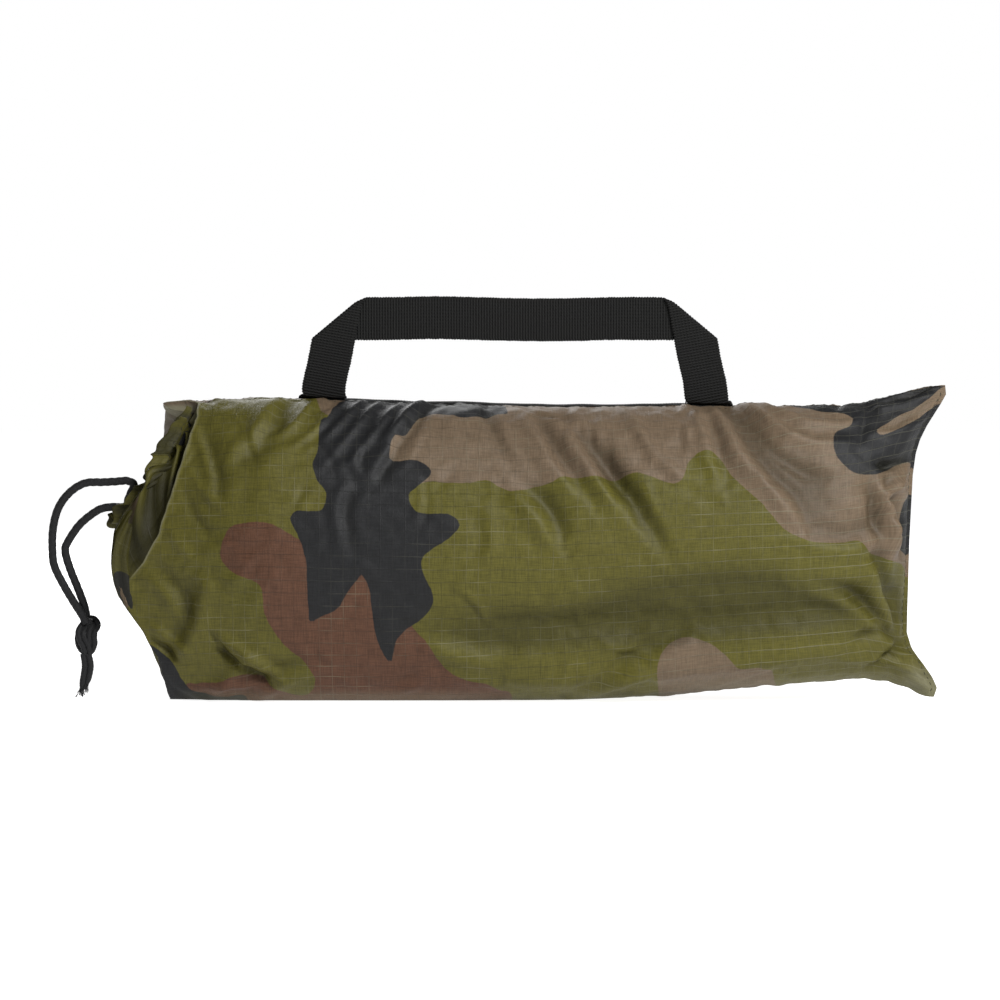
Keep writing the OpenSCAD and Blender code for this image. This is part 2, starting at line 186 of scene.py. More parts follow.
class Nodes:
    """Short way to add shader nodes to a material."""

    def __init__(self, mat):
        self.tree = mat.node_tree
        self.shader = self.tree.nodes["Principled BSDF"]

    def add(self, kind, **settings):
        node = self.tree.nodes.new(kind)
        for key, value in settings.items():
            setattr(node, key, value)
        return node

    def link(self, a, b):
        self.tree.links.new(a, b)

    def put(self, x, socket):
        """Sets a socket to a number or a colour, or links it to another socket."""
        if isinstance(x, (int, float)):
            socket.default_value = x
        elif isinstance(x, tuple):
            socket.default_value = (*x, 1)
        else:
            self.link(x, socket)

    def math(self, op, a, b=0.0):
        node = self.add("ShaderNodeMath", operation=op)
        self.put(a, node.inputs[0])
        self.put(b, node.inputs[1])
        return node.outputs[0]

    def mul(self, a, b):
        return self.math("MULTIPLY", a, b)

    def plus(self, a, b):
        return self.math("ADD", a, b)

    def minus(self, a, b):
        return self.math("SUBTRACT", a, b)

    def sine(self, a):
        return self.math("SINE", a)

    def attribute(self, name):
        return self.add("ShaderNodeAttribute", attribute_name=name).outputs["Fac"]

    def mix(self, factor, a, b, blend="MIX"):
        node = self.add("ShaderNodeMix", data_type="RGBA", blend_type=blend)
        for i, x in ((0, factor), (6, a), (7, b)):
            self.put(x, node.inputs[i])
        return node.outputs[2]

    def noise(self, scale, detail, place=None):
        tex = self.add("ShaderNodeTexNoise")
        tex.inputs["Scale"].default_value = scale
        tex.inputs["Detail"].default_value = detail
        self.link(place or self.add("ShaderNodeTexCoord").outputs["Object"], tex.inputs["Vector"])
        return tex.outputs["Fac"]

    def ramp01(self, x, low, high):
        node = self.add("ShaderNodeMapRange", interpolation_type="SMOOTHSTEP")
        self.link(x, node.inputs[0])
        node.inputs[1].default_value = low
        node.inputs[2].default_value = high
        return node.outputs[0]

    def bump(self, height, distance, strength, under=None):
        node = self.add("ShaderNodeBump")
        node.inputs["Distance"].default_value = distance
        node.inputs["Strength"].default_value = strength
        self.link(height, node.inputs["Height"])
        if under is not None:
            self.link(under, node.inputs["Normal"])
        return node.outputs[0]

    def surface(self, color, normal):
        self.link(color, self.shader.inputs["Base Color"])
        self.link(normal, self.shader.inputs["Normal"])


GREEN = (0.096, 0.086, 0.0145)
TAN = (0.152, 0.108, 0.069)
BROWN = (0.100, 0.046, 0.026)
BLACK = (0.0145, 0.0148, 0.0158)
# pale colour of the ripstop's threads, also used for the painted highlights
PALE_THREAD_AND_HIGHLIGHT = (0.26, 0.25, 0.17)
DARK_THREAD = (0.010, 0.010, 0.008)
PAINTED_SHADE_COLOR = (0.012, 0.011, 0.003)   # painted shade: cloth in the depth of a fold is darkened towards this
RIPSTOP_PITCH = 7.0
RIPSTOP_LINE = 0.26
THREAD_CONTRAST = 0.27
THREADS = 14.0           # radians of the weave in a millimetre
RIB, COLUMN = 1.6, 1.9   # pitch of the webbing's ribs and of its columns


def line_mask(n, coord, pitch, half_width):
    """1 on the lines of a grid that repeats every pitch, else 0."""
    wave = n.math("PINGPONG", coord, pitch / 2)
    return n.minus(1.0, n.ramp01(wave, half_width * 0.3, half_width * 1.5))


def thread_streaks(n, u, s, along, across):
    """Fine uneven streaks that follow the threads: along and across are lengths in millimetres."""
    place = n.add("ShaderNodeCombineXYZ")
    n.link(n.math("DIVIDE", u, along), place.inputs[0])
    n.link(n.math("DIVIDE", s, across), place.inputs[1])
    return n.ramp01(n.noise(1.0, 2.0, place.outputs[0]), 0.3, 0.7)


def printed_color(n):
    """Green with tan, brown and black patches over it."""
    wobble = n.minus(n.noise(260, 3), 0.5)
    color = n.mix(n.noise(22, 4), scaled(GREEN, 0.86), scaled(GREEN, 1.14))
    for key, paint in (("camo_tan", TAN), ("camo_brown", BROWN), ("camo_black", BLACK)):
        edge = n.ramp01(n.plus(n.attribute(key), wobble), -0.3, 0.3)
        color = n.mix(edge, color, paint)
    return color


def streaked(n, color, u, s):
    """The colour with the uneven shade of its threads."""
    streaks = n.plus(thread_streaks(n, u, s, 9.0, 0.6), thread_streaks(n, u, s, 0.6, 9.0))
    shade = n.plus(1 - THREAD_CONTRAST, n.mul(streaks, THREAD_CONTRAST))
    grey = n.add("ShaderNodeCombineColor")
    for socket in grey.inputs[:3]:
        n.link(shade, socket)
    return n.mix(1.0, color, grey.outputs[0], "MULTIPLY")


def with_ripstop(n, color, u, s):
    """The colour with the ripstop's lines, pale in places and dark in others, and painted paler towards the
    right as a painted highlight; and the lines alone.
    """
    to_right = n.ramp01(u, 30, 150)                 # painted highlight: the lines along the sack catch the light there
    faint = n.minus(0.55, n.mul(to_right, 0.25))
    lines_u = n.mul(line_mask(n, u, RIPSTOP_PITCH, RIPSTOP_LINE), faint)
    lines_s = line_mask(n, s, RIPSTOP_PITCH, RIPSTOP_LINE)
    lines = n.math("MAXIMUM", lines_u, lines_s)
    on_black = n.ramp01(n.attribute("camo_black"), -0.5, 0.5)
    pale = n.plus(0.32, n.mul(to_right, 0.14))
    pale = n.minus(pale, n.mul(on_black, 0.25))
    patchy = n.math("MAXIMUM", n.ramp01(n.noise(38, 3), 0.42, 0.66), n.mul(to_right, 0.75))
    color = n.mix(n.mul(lines, n.mul(patchy, pale)), color, PALE_THREAD_AND_HIGHLIGHT)
    dark = n.mul(n.minus(1.0, patchy), 0.28)
    return n.mix(n.mul(lines, dark), color, DARK_THREAD), lines


def camo_material():
    mat = new_material("camo_ripstop", specular=0.24)
    n = Nodes(mat)
    u, s = n.attribute("fab_u"), n.attribute("fab_s")
    color, lines = with_ripstop(n, streaked(n, printed_color(n), u, s), u, s)
    # painted highlight where the edges catch the light
    color = n.mix(n.mul(n.attribute("painted_highlight"), 0.75), color, PALE_THREAD_AND_HIGHLIGHT)
    # painted shade in the folds, the gathered end and the hem
    color = n.mix(n.attribute("cavity"), color, PAINTED_SHADE_COLOR)
    weave = n.mul(n.sine(n.mul(u, THREADS)), n.sine(n.mul(s, THREADS)))
    height = n.plus(lines, n.mul(weave, 0.14))
    crinkle = n.bump(n.noise(130, 4), 0.0009, 0.35)
    fine = n.bump(n.noise(420, 3), 0.0003, 0.4, crinkle)
    n.surface(color, n.bump(height, 0.00016, 0.7, fine))
    rough = n.plus(0.44, n.mul(n.noise(90, 2), 0.16))
    n.link(rough, n.shader.inputs["Roughness"])
    return mat


def webbing_material():
    mat = new_material("black_webbing", roughness=0.75, specular=0.14, sheen=0.02)
    n = Nodes(mat)
    along, across = n.attribute("web_l"), n.attribute("web_w")
    rib = n.sine(n.mul(along, 2 * math.pi / RIB))
    column = n.sine(n.mul(across, 2 * math.pi / COLUMN))
    woven = n.plus(n.mul(rib, 0.75), n.mul(n.mul(rib, column), 0.5))
    color = n.mix(n.ramp01(woven, -1.1, 1.1), (0.0035, 0.0035, 0.0034), (0.017, 0.017, 0.0165))
    color = n.mix(n.mul(n.noise(900, 2), 0.25), color, (0.024, 0.024, 0.023))
    n.surface(color, n.bump(n.plus(woven, n.noise(1400, 2)), 0.0003, 0.7))
    return mat


def cord_material():
    mat = new_material("black_cord", roughness=0.7, specular=0.3, sheen=0.15)
    n = Nodes(mat)
    color = n.mix(n.noise(1500, 2), (0.004, 0.004, 0.0043), (0.018, 0.018, 0.0195))
    n.surface(color, n.bump(n.noise(2600, 2), 0.0002, 0.6))
    return mat


def grained_material(name, color, roughness, grain, metallic=0.0):
    mat = new_material(name, roughness=roughness, color=color, metallic=metallic)
    n = Nodes(mat)
    uneven = n.mix(n.noise(grain / 8, 2), scaled(color, 0.8), scaled(color, 1.2))
    n.surface(uneven, n.bump(n.noise(grain, 3), 0.0001, 0.6))
    return mat


CAMO = camo_material()
WEBBING = webbing_material()
CORD = cord_material()
THREAD = grained_material("thread", (0.030, 0.030, 0.020), 0.7, grain=2500)
LINER = grained_material("groundsheet_coated", (0.075, 0.080, 0.032), 0.38, grain=500)
THREAD_LIGHT = grained_material("foot_thread", (0.045, 0.045, 0.043), 0.65, grain=2500)
PLASTIC = grained_material("black_plastic", (0.016, 0.016, 0.017), 0.45, grain=1600)
STEEL = grained_material("spring_steel", (0.55, 0.55, 0.56), 0.28, metallic=1.0, grain=800)
ENAMEL = grained_material("zip_enamel", (0.02, 0.02, 0.022), 0.35, metallic=0.4, grain=1400)

# ------------------------------------------------------------------ the sack's shape

GIRTH = 464.0         # round the sack, from the top seam down the front and up the back
OUTLINE_X = [-222, -203, -168, -145, -110, -52, 6, 64, 122, 170, 182, 192, 203, 215, 228]
OUTLINE_TOP = [171, 173, 174.5, 174, 172.5, 170.6, 169.2, 169.6, 170, 170, 171, 174, 178, 181.5, 183.5]
UNDER_X = [-222, -60, 6, 64, 122, 170, 186, 197, 206, 216, 228]
UNDER_Z = [-5, -5, -3.5, 1, 6.5, 10, 11, 9.5, 6, 2, 0.5]
FLAP_CURL = 20.0     # the lower right corner curls forward by this much
FLAP_X, FLAP_TOP = 196, 34           # where the curl starts, and how high up it reaches

NECK = np.array([-210.0, -13.0, 134.0])   # centre of the gathered neck
NECK_RY, NECK_RZ = 10.0, 26.0
NECK_LEAN = 9.0                         # the neck leans back at the top
END_X = 215.5
SEAM_HALF = 0.9                         # half the thickness of the sewn edge


HALF_DEPTH, SEWN_HALF = 59.0, 1.3       # half the sack's depth in the middle, and at the sewn end


def half_depth(x):
    left = lerp(0.58, 1.0, smooth((x + 250) / 100))
    right = np.sqrt(1 - np.clip((x - 112) / (218 - 112), 0, 1) ** 2.5)
    return np.maximum(HALF_DEPTH * left * right, SEWN_HALF)


LOW_FULLNESS = 0.72      # the underside is squarer than the top


def section(x, a):
    """A point of the body's skin. Angle a runs from the top seam (0) round by the front."""
    top = np.interp(x, OUTLINE_X, OUTLINE_TOP)
    under = np.interp(x, UNDER_X, UNDER_Z)
    mid, rise = (top + under) / 2, (top - under) / 2
    lens = lerp(0.95, 1.55, smooth((x - 140) / 75)) * lerp(1.0, LOW_FULLNESS, smooth(-np.cos(a) / 0.7))
    y = -half_depth(x) * np.sign(np.sin(a)) * np.abs(np.sin(a)) ** lens
    z = mid + rise * np.cos(a)
    return np.stack([x + 0 * a, y, z], -1)


def girth_angles(count):
    """Angles whose points are evenly spaced round the middle section."""
    a = np.linspace(0, 2 * np.pi, 4001)
    p = section(np.zeros_like(a), a)
    run = run_along(p)
    return np.interp(np.linspace(0, run[-1], count), run, a)


def height_to_girth(h):
    """Distance down from the top seam of a spot seen at height h on the front, or -h on the back."""
    angles = girth_angles(801)[:401]
    z = section(np.zeros_like(angles), angles)[:, 2]
    over = np.maximum(np.abs(h) - z[0], 0)
    front = np.interp(-np.abs(h), -z, np.linspace(0, GIRTH / 2, 401)) - over
    return np.where(np.asarray(h) >= 0, front, GIRTH - front)


# Left edge of the front, where the cloth folds back towards the neck: (height, x)
FOLD_FRONT = [(3, -214), (10, -216), (24, -218.5), (31, -223), (42, -229), (52, -235), (60, -238),
              (70, -236.5), (81, -228), (97, -219), (118, -212), (143, -204), (163, -198)]
FOLD_BACK = [(3, -214), (24, -218), (42, -226), (60, -232), (81, -231), (97, -228), (120, -226), (146, -222),
             (168, -219)]
# Right edge: (cosine of the section angle, x)
END_EDGE = [(-1, 228), (-0.94, 230), (-0.87, 227.5), (-0.79, 222.5), (-0.7, 217), (-0.6, 214.3),
            (-0.35, 214.8), (0, 215.5), (0.42, 217.3), (0.56, 219), (0.65, 221.5), (0.74, 225.5),
            (0.82, 230), (0.88, 233.5), (0.94, 236.5), (1, 236)]


FOLD_SECTION = -212.0    # heights along the fold are those of the section here
EAR_X, EAR_SPREAD = -218.0, 0.11         # the top corner stays out as a small ear


def fold_x(a):
    """Left edge of the body's cloth at section angle a."""
    z = section(np.full_like(a, FOLD_SECTION), a)[..., 2]
    front = np.interp(z, *np.array(FOLD_FRONT).T)
    back = np.interp(z, *np.array(FOLD_BACK).T)
    x = np.where(np.sin(a) >= 0, front, back)
    ear = np.exp(-(a / EAR_SPREAD) ** 2)
    return np.where(a < np.pi, lerp(x, EAR_X, ear), x)


BODY_ROWS, END_ROWS, COLS = 254, 66, 233
LIP_ROWS, LIP_T = 8, 0.010     # rows crowd at the left fold, so that it stays crisp
WALL_ROWS, WALL_T = 16, 0.0082  # and at the right end, which the seam draws together
BODY_T = np.concatenate([np.linspace(0, LIP_T, LIP_ROWS, endpoint=False),
                         np.linspace(LIP_T, 1 - WALL_T, BODY_ROWS - LIP_ROWS - WALL_ROWS, endpoint=False),
                         1 - WALL_T * (1 - np.linspace(0, 1, WALL_ROWS)) ** 2])
PINCH = 2.5              # the section's depth runs out this far past END_X
SEAM_FIN, FIN_ROWS = 2.2, 3   # the sewn edge stands out from the end
END_T = 1 - (1 - np.linspace(0, 1, END_ROWS)) ** 1.45


def body_grid(angles):
    """Skin of the body from the left fold to the end seam, its x, and the cloth's extra run at the end."""
    t = BODY_T[:, None]
    a = angles[None, :]
    left = fold_x(angles)[None, :]
    nominal = lerp(left, END_X, t)
    p = section(nominal + PINCH * smooth((nominal - END_X + 11) / 11), a + 0 * t)
    edge = np.interp(np.cos(angles), *np.array(END_EDGE).T)[None, :]
    p[..., 0] = nominal + (edge - SEAM_FIN - END_X) * t**14
    p[-FIN_ROWS:] = p[-FIN_ROWS]
    p[-FIN_ROWS:, :, 0] += np.linspace(0, SEAM_FIN, FIN_ROWS)[:, None]
    p[-FIN_ROWS:, :, 1] = np.clip(p[-FIN_ROWS:, :, 1], -SEAM_HALF, SEAM_HALF)
    low = smooth((FLAP_TOP - p[..., 2]) / FLAP_TOP)
    p[..., 1] -= FLAP_CURL * smooth((p[..., 0] - FLAP_X) / 34) ** 1.5 * low
    steps = np.linalg.norm(np.diff(p, axis=0), axis=-1) - np.diff(nominal, axis=0)
    steps = np.where(nominal[1:] > END_X - 4, np.maximum(steps, 0), 0)
    over_end = np.concatenate([np.zeros_like(nominal[:1]), np.cumsum(steps, axis=0)])
    return p, nominal, over_end


def end_grid(fold, body_u):
    """Gathered end: from the neck (row 0) out to the left fold."""
    turn = np.linspace(0, 2 * np.pi, len(fold))
    radial = np.stack([0 * turn, -np.sin(turn), np.cos(turn)], -1)
    tilt = NECK_LEAN * np.cos(turn)[:, None] * np.array([1.0, 0, 0])
    neck = NECK + radial * np.array([1, NECK_RY, NECK_RZ]) + tilt
    high = smooth((fold[:, 2:3] - 60) / 75)
    front = smooth(0.5 + 0.5 * np.sin(turn))[:, None]
    inward = unit(NECK - fold) * np.array([0, 1, 1])
    reach = np.minimum(np.linalg.norm(fold - neck, axis=1, keepdims=True) / 45, 1)
    bulge = -17.0 * smooth((fold[:, 2:3] - 24) / 28)
    c1 = fold + inward * 14 * reach + np.array([1.0, 0, 0]) * lerp(bulge, 5.0 * front * reach, high)
    c2 = neck + radial * lerp(26, 12, high) * reach + np.array([1.0, 0, 0]) * lerp(-34.0, 4.0 * reach, high)
    t = END_T[:, None, None]
    p = neck * (1 - t) ** 3 + c2 * 3 * t * (1 - t) ** 2 + c1 * 3 * t**2 * (1 - t) + fold * t**3
    run = run_along(p)
    return p, body_u[None, :] - (run[-1] - run)


# ------------------------------------------------------------------ creases


def to_fabric(points):
    """Points (x, height on the front or minus height on the back) as (x, distance round the girth)."""
    p = np.asarray(points, float)
    return np.stack([p[:, 0], height_to_girth(p[:, 1])], 1)


def line_distance(at, line):
    """Signed distance from points to a line, and how far along it the nearest spot is (0 to 1)."""
    best = np.full(len(at), 1e9)
    side = np.zeros(len(at))
    along = np.zeros(len(at))
    seg = np.linalg.norm(np.diff(line, axis=0), axis=1)
    start = np.concatenate([[0], np.cumsum(seg)])
    for i in range(len(seg)):
        d = line[i + 1] - line[i]
        f = np.clip(((at - line[i]) @ d) / max(d @ d, 1e-9), 0, 1)
        away = at - (line[i] + f[:, None] * d)
        dist = np.hypot(*away.T)
        near = dist < best
        best[near] = dist[near]
        side[near] = np.sign(d[0] * away[near, 1] - d[1] * away[near, 0])
        along[near] = (start[i] + f[near] * seg[i]) / start[-1]
    return best * np.where(side == 0, 1, side), along


def crease(at, line, width, depth, kind="ridge"):
    """Height of one crease at fabric points: a ridge, a valley (negative depth) or a step in the cloth."""
    line = catmull(line, 6)
    low, high = line.min(0) - 4 * width, line.max(0) + 4 * width
    out = np.zeros(len(at))
    near = np.all((at > low) & (at < high), axis=1)
    if not near.any():
        return out
    d, f = line_distance(at[near], line)
    taper = np.sin(np.pi * np.clip(f, 0.02, 0.98)) ** 0.7
    x = d / width
    shape = x * np.exp(0.5 - x * x / 2) if kind == "step" else np.exp(-x * x)
    out[near] = depth * taper * shape
    return out


FOLD_GAIN = 1.6          # the front's folds are drawn this much deeper than listed

# Folds seen on the front: (points, width, depth), a ridge or valley unless it says "step"
FRONT_FOLDS = [
    # below the left foot of the handle, slanting down to the left
    ([(-66, 171), (-80, 160), (-92, 146)], 2.0, 1.0),
    ([(-76, 171), (-94, 154), (-112, 132)], 2.1, 1.3),
    ([(-87, 172), (-106, 155), (-126, 132)], 2.0, 1.2),
    ([(-98, 172), (-114, 158), (-134, 140)], 2.1, 1.2),
    ([(-108, 172), (-126, 156), (-148, 140)], 2.2, 1.1),
    ([(-60, 170), (-84, 146), (-96, 124)], 3.4, 1.3, "step"),
    ([(-126, 171), (-141, 156), (-160, 146)], 2.6, 1.3),
    ([(-146, 171), (-158, 152), (-178, 134)], 5.0, 1.6, "step"),
    # middle, slanting down to the right
    ([(-13, 126), (2, 108), (10, 92)], 5.5, 2.2, "step"),
    ([(16, 158), (34, 132), (50, 108)], 5.0, 2.6, "step"),
    ([(30, 152), (52, 118), (72, 84)], 6.0, -2.4),
    ([(-8, 166), (6, 144), (24, 118)], 4.5, 1.8, "step"),
    ([(48, 168), (62, 146), (84, 126)], 4.5, 1.6),
    ([(-34, 168), (-24, 150), (-16, 138)], 4.0, -1.3),
    # from the right foot of the handle
    ([(98, 170), (118, 142), (142, 112), (150, 96)], 5.0, 2.4, "step"),
    ([(112, 171), (142, 152), (182, 146)], 4.2, 1.9),
    ([(106, 171), (134, 142), (170, 124)], 5.0, -2.0),
    ([(118, 172), (152, 160), (190, 160)], 3.6, 1.5),
    ([(90, 171), (98, 146), (104, 120)], 4.0, 1.4, "step"),
    # long horizontal hollow and the roll below it
    ([(-60, 48), (10, 44), (90, 42), (160, 42), (212, 40)], 11.0, -4.8),
    ([(20, 52), (80, 62), (130, 60), (178, 52)], 12.0, -3.0),
    ([(136, 148), (156, 118), (158, 92)], 11.0, -2.2),
    ([(-194, 168), (-190, 128), (-198, 92)], 15.0, -1.0),
    ([(-60, 15), (40, 14), (110, 15), (190, 19)], 8.0, 2.6),
    ([(20, 2), (50, 18), (90, 33)], 5.0, 2.0, "step"),
    ([(-70, 40), (-30, 30), (10, 30)], 6.0, 1.4, "step"),
    # lower right corner
    ([(186, 80), (198, 58), (214, 34)], 5.0, 2.8, "step"),
    ([(178, 22), (196, 28), (213, 30)], 4.0, -2.6),
    ([(184, 60), (200, 40), (212, 30)], 4.0, 2.0),
    ([(170, 12), (196, 10), (222, 8)], 3.0, 1.6),
    # right end below the ear
    ([(196, 124), (203, 96), (208, 60)], 3.2, 2.2, "step"),
    ([(186, 150), (204, 148), (221, 156)], 3.4, 1.6),
    ([(180, 166), (204, 168), (226, 176)], 3.0, -1.6),
    ([(150, 90), (176, 86), (206, 92)], 6.0, 1.6, "step"),
    ([(132, 66), (168, 62), (208, 66)], 7.0, 1.4),
    ([(193, 131), (202, 127.5), (211, 129)], 2.4, -4.0),
    ([(213, 123), (205, 114), (197, 106)], 3.0, 3.6),
    ([(195, 106), (204, 99), (202, 87)], 2.6, 3.2),
    ([(202, 96), (206, 82), (211, 68)], 3.0, 3.6),
    ([(189, 121), (193, 102), (198, 78)], 4.0, -3.6),
    ([(190, 112), (198, 108), (208, 109)], 1.8, -1.8),
    ([(186, 6), (200, 15), (214, 29)], 2.2, -3.2),
    ([(200, 17), (213, 15), (229, 5)], 2.0, 2.4),
    ([(204, 10), (216, 8), (228, 3)], 1.8, -2.0),
    ([(150, 60), (176, 52), (200, 32), (210, 22)], 5.0, 2.2, "step"),
    # lower left star
    ([(-190, 4), (-176, 18), (-160, 34)], 4.0, 2.0),
    ([(-204, 8), (-180, 12), (-150, 10)], 3.4, 1.8),
    ([(-188, 34), (-172, 23), (-150, 9)], 2.0, -3.2),
    ([(-184, 39), (-166, 28), (-144, 13)], 2.8, 2.4),
    ([(-190, 42), (-182, 33), (-180, 22)], 1.8, -1.6),
    ([(-227, 41), (-217, 33), (-206, 24)], 1.8, -2.4),
    ([(-223, 45), (-212, 37), (-200, 29)], 2.4, 1.8),
    ([(-214, 22), (-200, 46), (-194, 74)], 5.0, 1.8, "step"),
    ([(-170, 2), (-150, 16), (-130, 22)], 4.0, 1.4, "step"),
    # beside the left fold
    ([(-198, 158), (-188, 134), (-184, 110)], 2.6, 0.8, "step"),
    ([(-204, 136), (-190, 118), (-176, 108)], 2.4, 0.9),
    ([(-206, 124), (-196, 104), (-180, 88)], 2.4, -1.0),
    ([(-216, 104), (-204, 88), (-188, 74)], 2.6, 0.9),
    ([(-228, 80), (-212, 66), (-200, 44)], 3.6, 1.1, "step"),
    ([(-176, 160), (-170, 130), (-176, 100)], 5.0, 0.6, "step"),
]


# Folds of the back, which the photo doesn't show
BACK_FOLDS = [
    ([(-120, -150), (-140, -128), (-168, -112)], 5.0, 2.0, "step"),
    ([(-100, -146), (-92, -118), (-70, -92)], 5.5, 2.2, "step"),
    ([(96, -146), (120, -120), (150, -106)], 5.0, 2.2, "step"),
    ([(88, -146), (70, -118), (60, -86)], 5.5, -2.0),
    ([(-60, -60), (10, -50), (90, -52)], 10.0, -2.8),
    ([(-180, -70), (-120, -60), (-60, -66)], 9.0, 2.0, "step"),
    ([(150, -70), (180, -56), (208, -40)], 5.0, 2.2, "step"),
    ([(160, -120), (190, -126), (214, -140)], 5.0, 1.8),
    ([(-40, -120), (-10, -96), (30, -84)], 6.0, 1.8, "step"),
    ([(-206, -140), (-180, -120), (-150, -116)], 5.0, 1.6),
    ([(20, -30), (60, -20), (120, -24)], 6.0, 1.8),
    ([(-190, -20), (-160, -30), (-130, -26)], 5.0, 1.6, "step"),
]


def random_folds(count, rng, s_range, widths):
    """Smaller folds in keeping with the pull of the seams, within a band of the cloth."""
    folds = []
    for _ in range(count):
        x = rng.uniform(-205, 205)
        s = rng.uniform(*s_range)
        to_seam = min(s, GIRTH - s) / (GIRTH / 2)
        steep = rng.normal(0.0, 0.5) + (1.15 if to_seam < 0.45 else 0.35)
        length = rng.uniform(14, 48)
        sign = rng.choice([-1, 1])
        d = np.array([math.cos(steep) * sign, math.sin(steep)]) * length / 2
        bend = np.array([-d[1], d[0]]) * rng.uniform(-0.25, 0.25)
        mid = np.array([x, s])
        folds.append((np.array([mid - d, mid + bend, mid + d]), rng.uniform(*widths),
                      rng.uniform(0.25, 0.85) * rng.choice([-1, 1]), rng.choice(["ridge", "step"])))
    return folds


def seam_puckers(u, s, rng):
    """Short puckers square to the top seam and to the end seam, which die away from it."""
    def wave(place, low, high, step):
        count = int((high - low) / 2)
        return np.interp(place, np.linspace(low, high, count), noise1(count, step, rng))

    from_top = np.minimum(s, GIRTH - s)
    front, back = [wave(u, -240, 240, 2.6) for _ in range(2)]
    top = 0.5 * np.where(s < GIRTH / 2, front, back) * np.exp(-((from_top / 17) ** 1.4))
    narrow, wide = [wave(s, 0, GIRTH, step) for step in (3.6, 9)]
    from_end = np.clip(END_X - u, 0, 400)
    end = narrow * np.exp(-((from_end / 22) ** 1.3)) + 1.5 * wide * np.exp(-((from_end / 48) ** 1.5))
    under = np.exp(-(((s - GIRTH / 2) / 26) ** 2)) * wave(u, -240, 240, 4)
    return top + end * np.clip(from_end / 5, 0, 1) + 0.2 * under


def body_relief(u, s):
    """Height of every fold and pucker of the body's cloth."""
    at = np.stack([u.ravel(), s.ravel()], 1)
    rng = np.random.default_rng(11)
    height = np.zeros(len(at))
    for gain, folds in ((FOLD_GAIN, FRONT_FOLDS), (1.0, BACK_FOLDS)):
        for points, width, depth, *kind in folds:
            height += gain * crease(at, to_fabric(points), width, depth, *kind)
    everywhere = random_folds(120, rng, (8, GIRTH - 8), (1.8, 4.5))
    by_top_seam = random_folds(46, np.random.default_rng(5), (4, 62), (1.5, 2.3))
    for fold in everywhere + by_top_seam:
        height += crease(at, *fold)
    return height.reshape(u.shape) + seam_puckers(u, s, rng)


PLEATS, PLEAT_DEPTH = 17, 5.0
EAR_HEIGHT = 26.0        # the ear at the top of the fold is in the light down to here
EAR_PALE = 1.0           # how pale the painted highlight makes the cloth there
LOW_PALE = 0.42          # painted highlight along the lower right edge, where the floor lights it
FLAP_PALE = 0.62         # painted highlight on the lower corner's flap
UNDER_PALE = 0.34        # painted light along the rest of the lower edge, where the floor lights it


def pleats(t, turn):
    """Radial pleats of the gathered end: deep at the neck, gone at the fold."""
    phase = turn * PLEATS + 1.3 * np.sin(turn * 2 + 0.6) + 0.9 * np.sin(turn * 3 + 2.0)
    second = turn * (PLEATS * 2 + 1) + 1.1 * np.sin(turn * 2)
    wave = 1 - 2 * np.abs(np.sin(phase / 2)) ** 0.75
    small = np.sin(second)
    strength = 0.75 + 0.35 * np.sin(turn * 5 + 1.0)
    fade = (1 - t) ** 0.8 * smooth(t * 7)
    return (wave * strength + 0.3 * small) * fade * PLEAT_DEPTH


def pleat_shade(lift, t, behind_lip, from_top):
    """Painted shade of the gathered end: deepest between its pleats, by the neck and behind the fold's lip.
    """
    low = np.clip(0.35 - lift / PLEAT_DEPTH, 0, 1.2) / 1.2
    lip = 0.62 * behind_lip * smooth((t - 0.35) / 0.5)
    shade = np.clip(0.12 + 0.75 * low + 0.30 * (1 - t) ** 2 + lip, 0, 0.88)
    ear = np.exp(-((from_top / EAR_HEIGHT) ** 2)) * smooth((t - 0.25) / 0.35)
    return shade * (1 - ear)


# ------------------------------------------------------------------ camouflage

# Patches as outlines: (x, height on the front) or (x, minus height on the back). Past 172 is beyond the
# top seam. The photo shows only the front, so the patches of the back are made up in the same manner.
TAN_PATCHES = [
    [(-90, 127), (-63, 127), (-43, 126), (-31, 128), (-23, 124), (-15, 122), (-4, 125), (6, 127), (14, 130),
     (31, 129), (44, 130), (54, 132), (64, 129), (75, 125), (81, 128), (85, 138), (94, 143), (102, 140),
     (108, 130), (115, 122), (126, 111), (137, 97), (146, 91), (157, 87), (171, 86), (182, 86), (187, 79),
     (197, 74), (215, 70), (262, 68), (264, 196), (-90, 196)],
    [(-135, 190), (-132, 174), (-128, 166), (-122, 160), (-118, 165), (-114, 172), (-112, 190)],
    [(68, 5), (67, 20), (72, 28), (81, 32), (90, 31), (99, 27), (107, 20), (114, 14), (127, 12), (134, 4),
     (140, -14), (122, -26), (96, -22), (74, -12)],
    [(-184, 172), (-192, 169), (-204, 167.5), (-214, 166), (-226, 158), (-240, 150), (-262, 150),
     (-262, 196), (-180, 196)],
    [(-262, -130), (-226, -140), (-214, -150), (-206, -172), (-206, -196), (-262, -196)],
    [(-262, 84), (-246, 80), (-238, 70), (-236, 56), (-244, 52), (-262, 56)],
    [(-262, -184), (-224, -156), (-206, -128), (-176, -120), (-150, -130), (-128, -116), (-104, -126),
     (-92, -150), (-96, -196), (-262, -196)],
    [(-84, -96), (-60, -114), (-30, -106), (-6, -120), (30, -114), (52, -96), (76, -102), (98, -84),
     (90, -62), (60, -56), (38, -70), (8, -60), (-20, -42), (-52, -50), (-74, -72)],
    [(116, -36), (150, -58), (178, -52), (206, -64), (262, -62), (262, 0), (196, -4), (150, -6),
     (122, -18)],
    [(86, -152), (118, -136), (150, -144), (176, -128), (202, -140), (216, -162), (262, -168), (262, -196),
     (80, -196)],
]
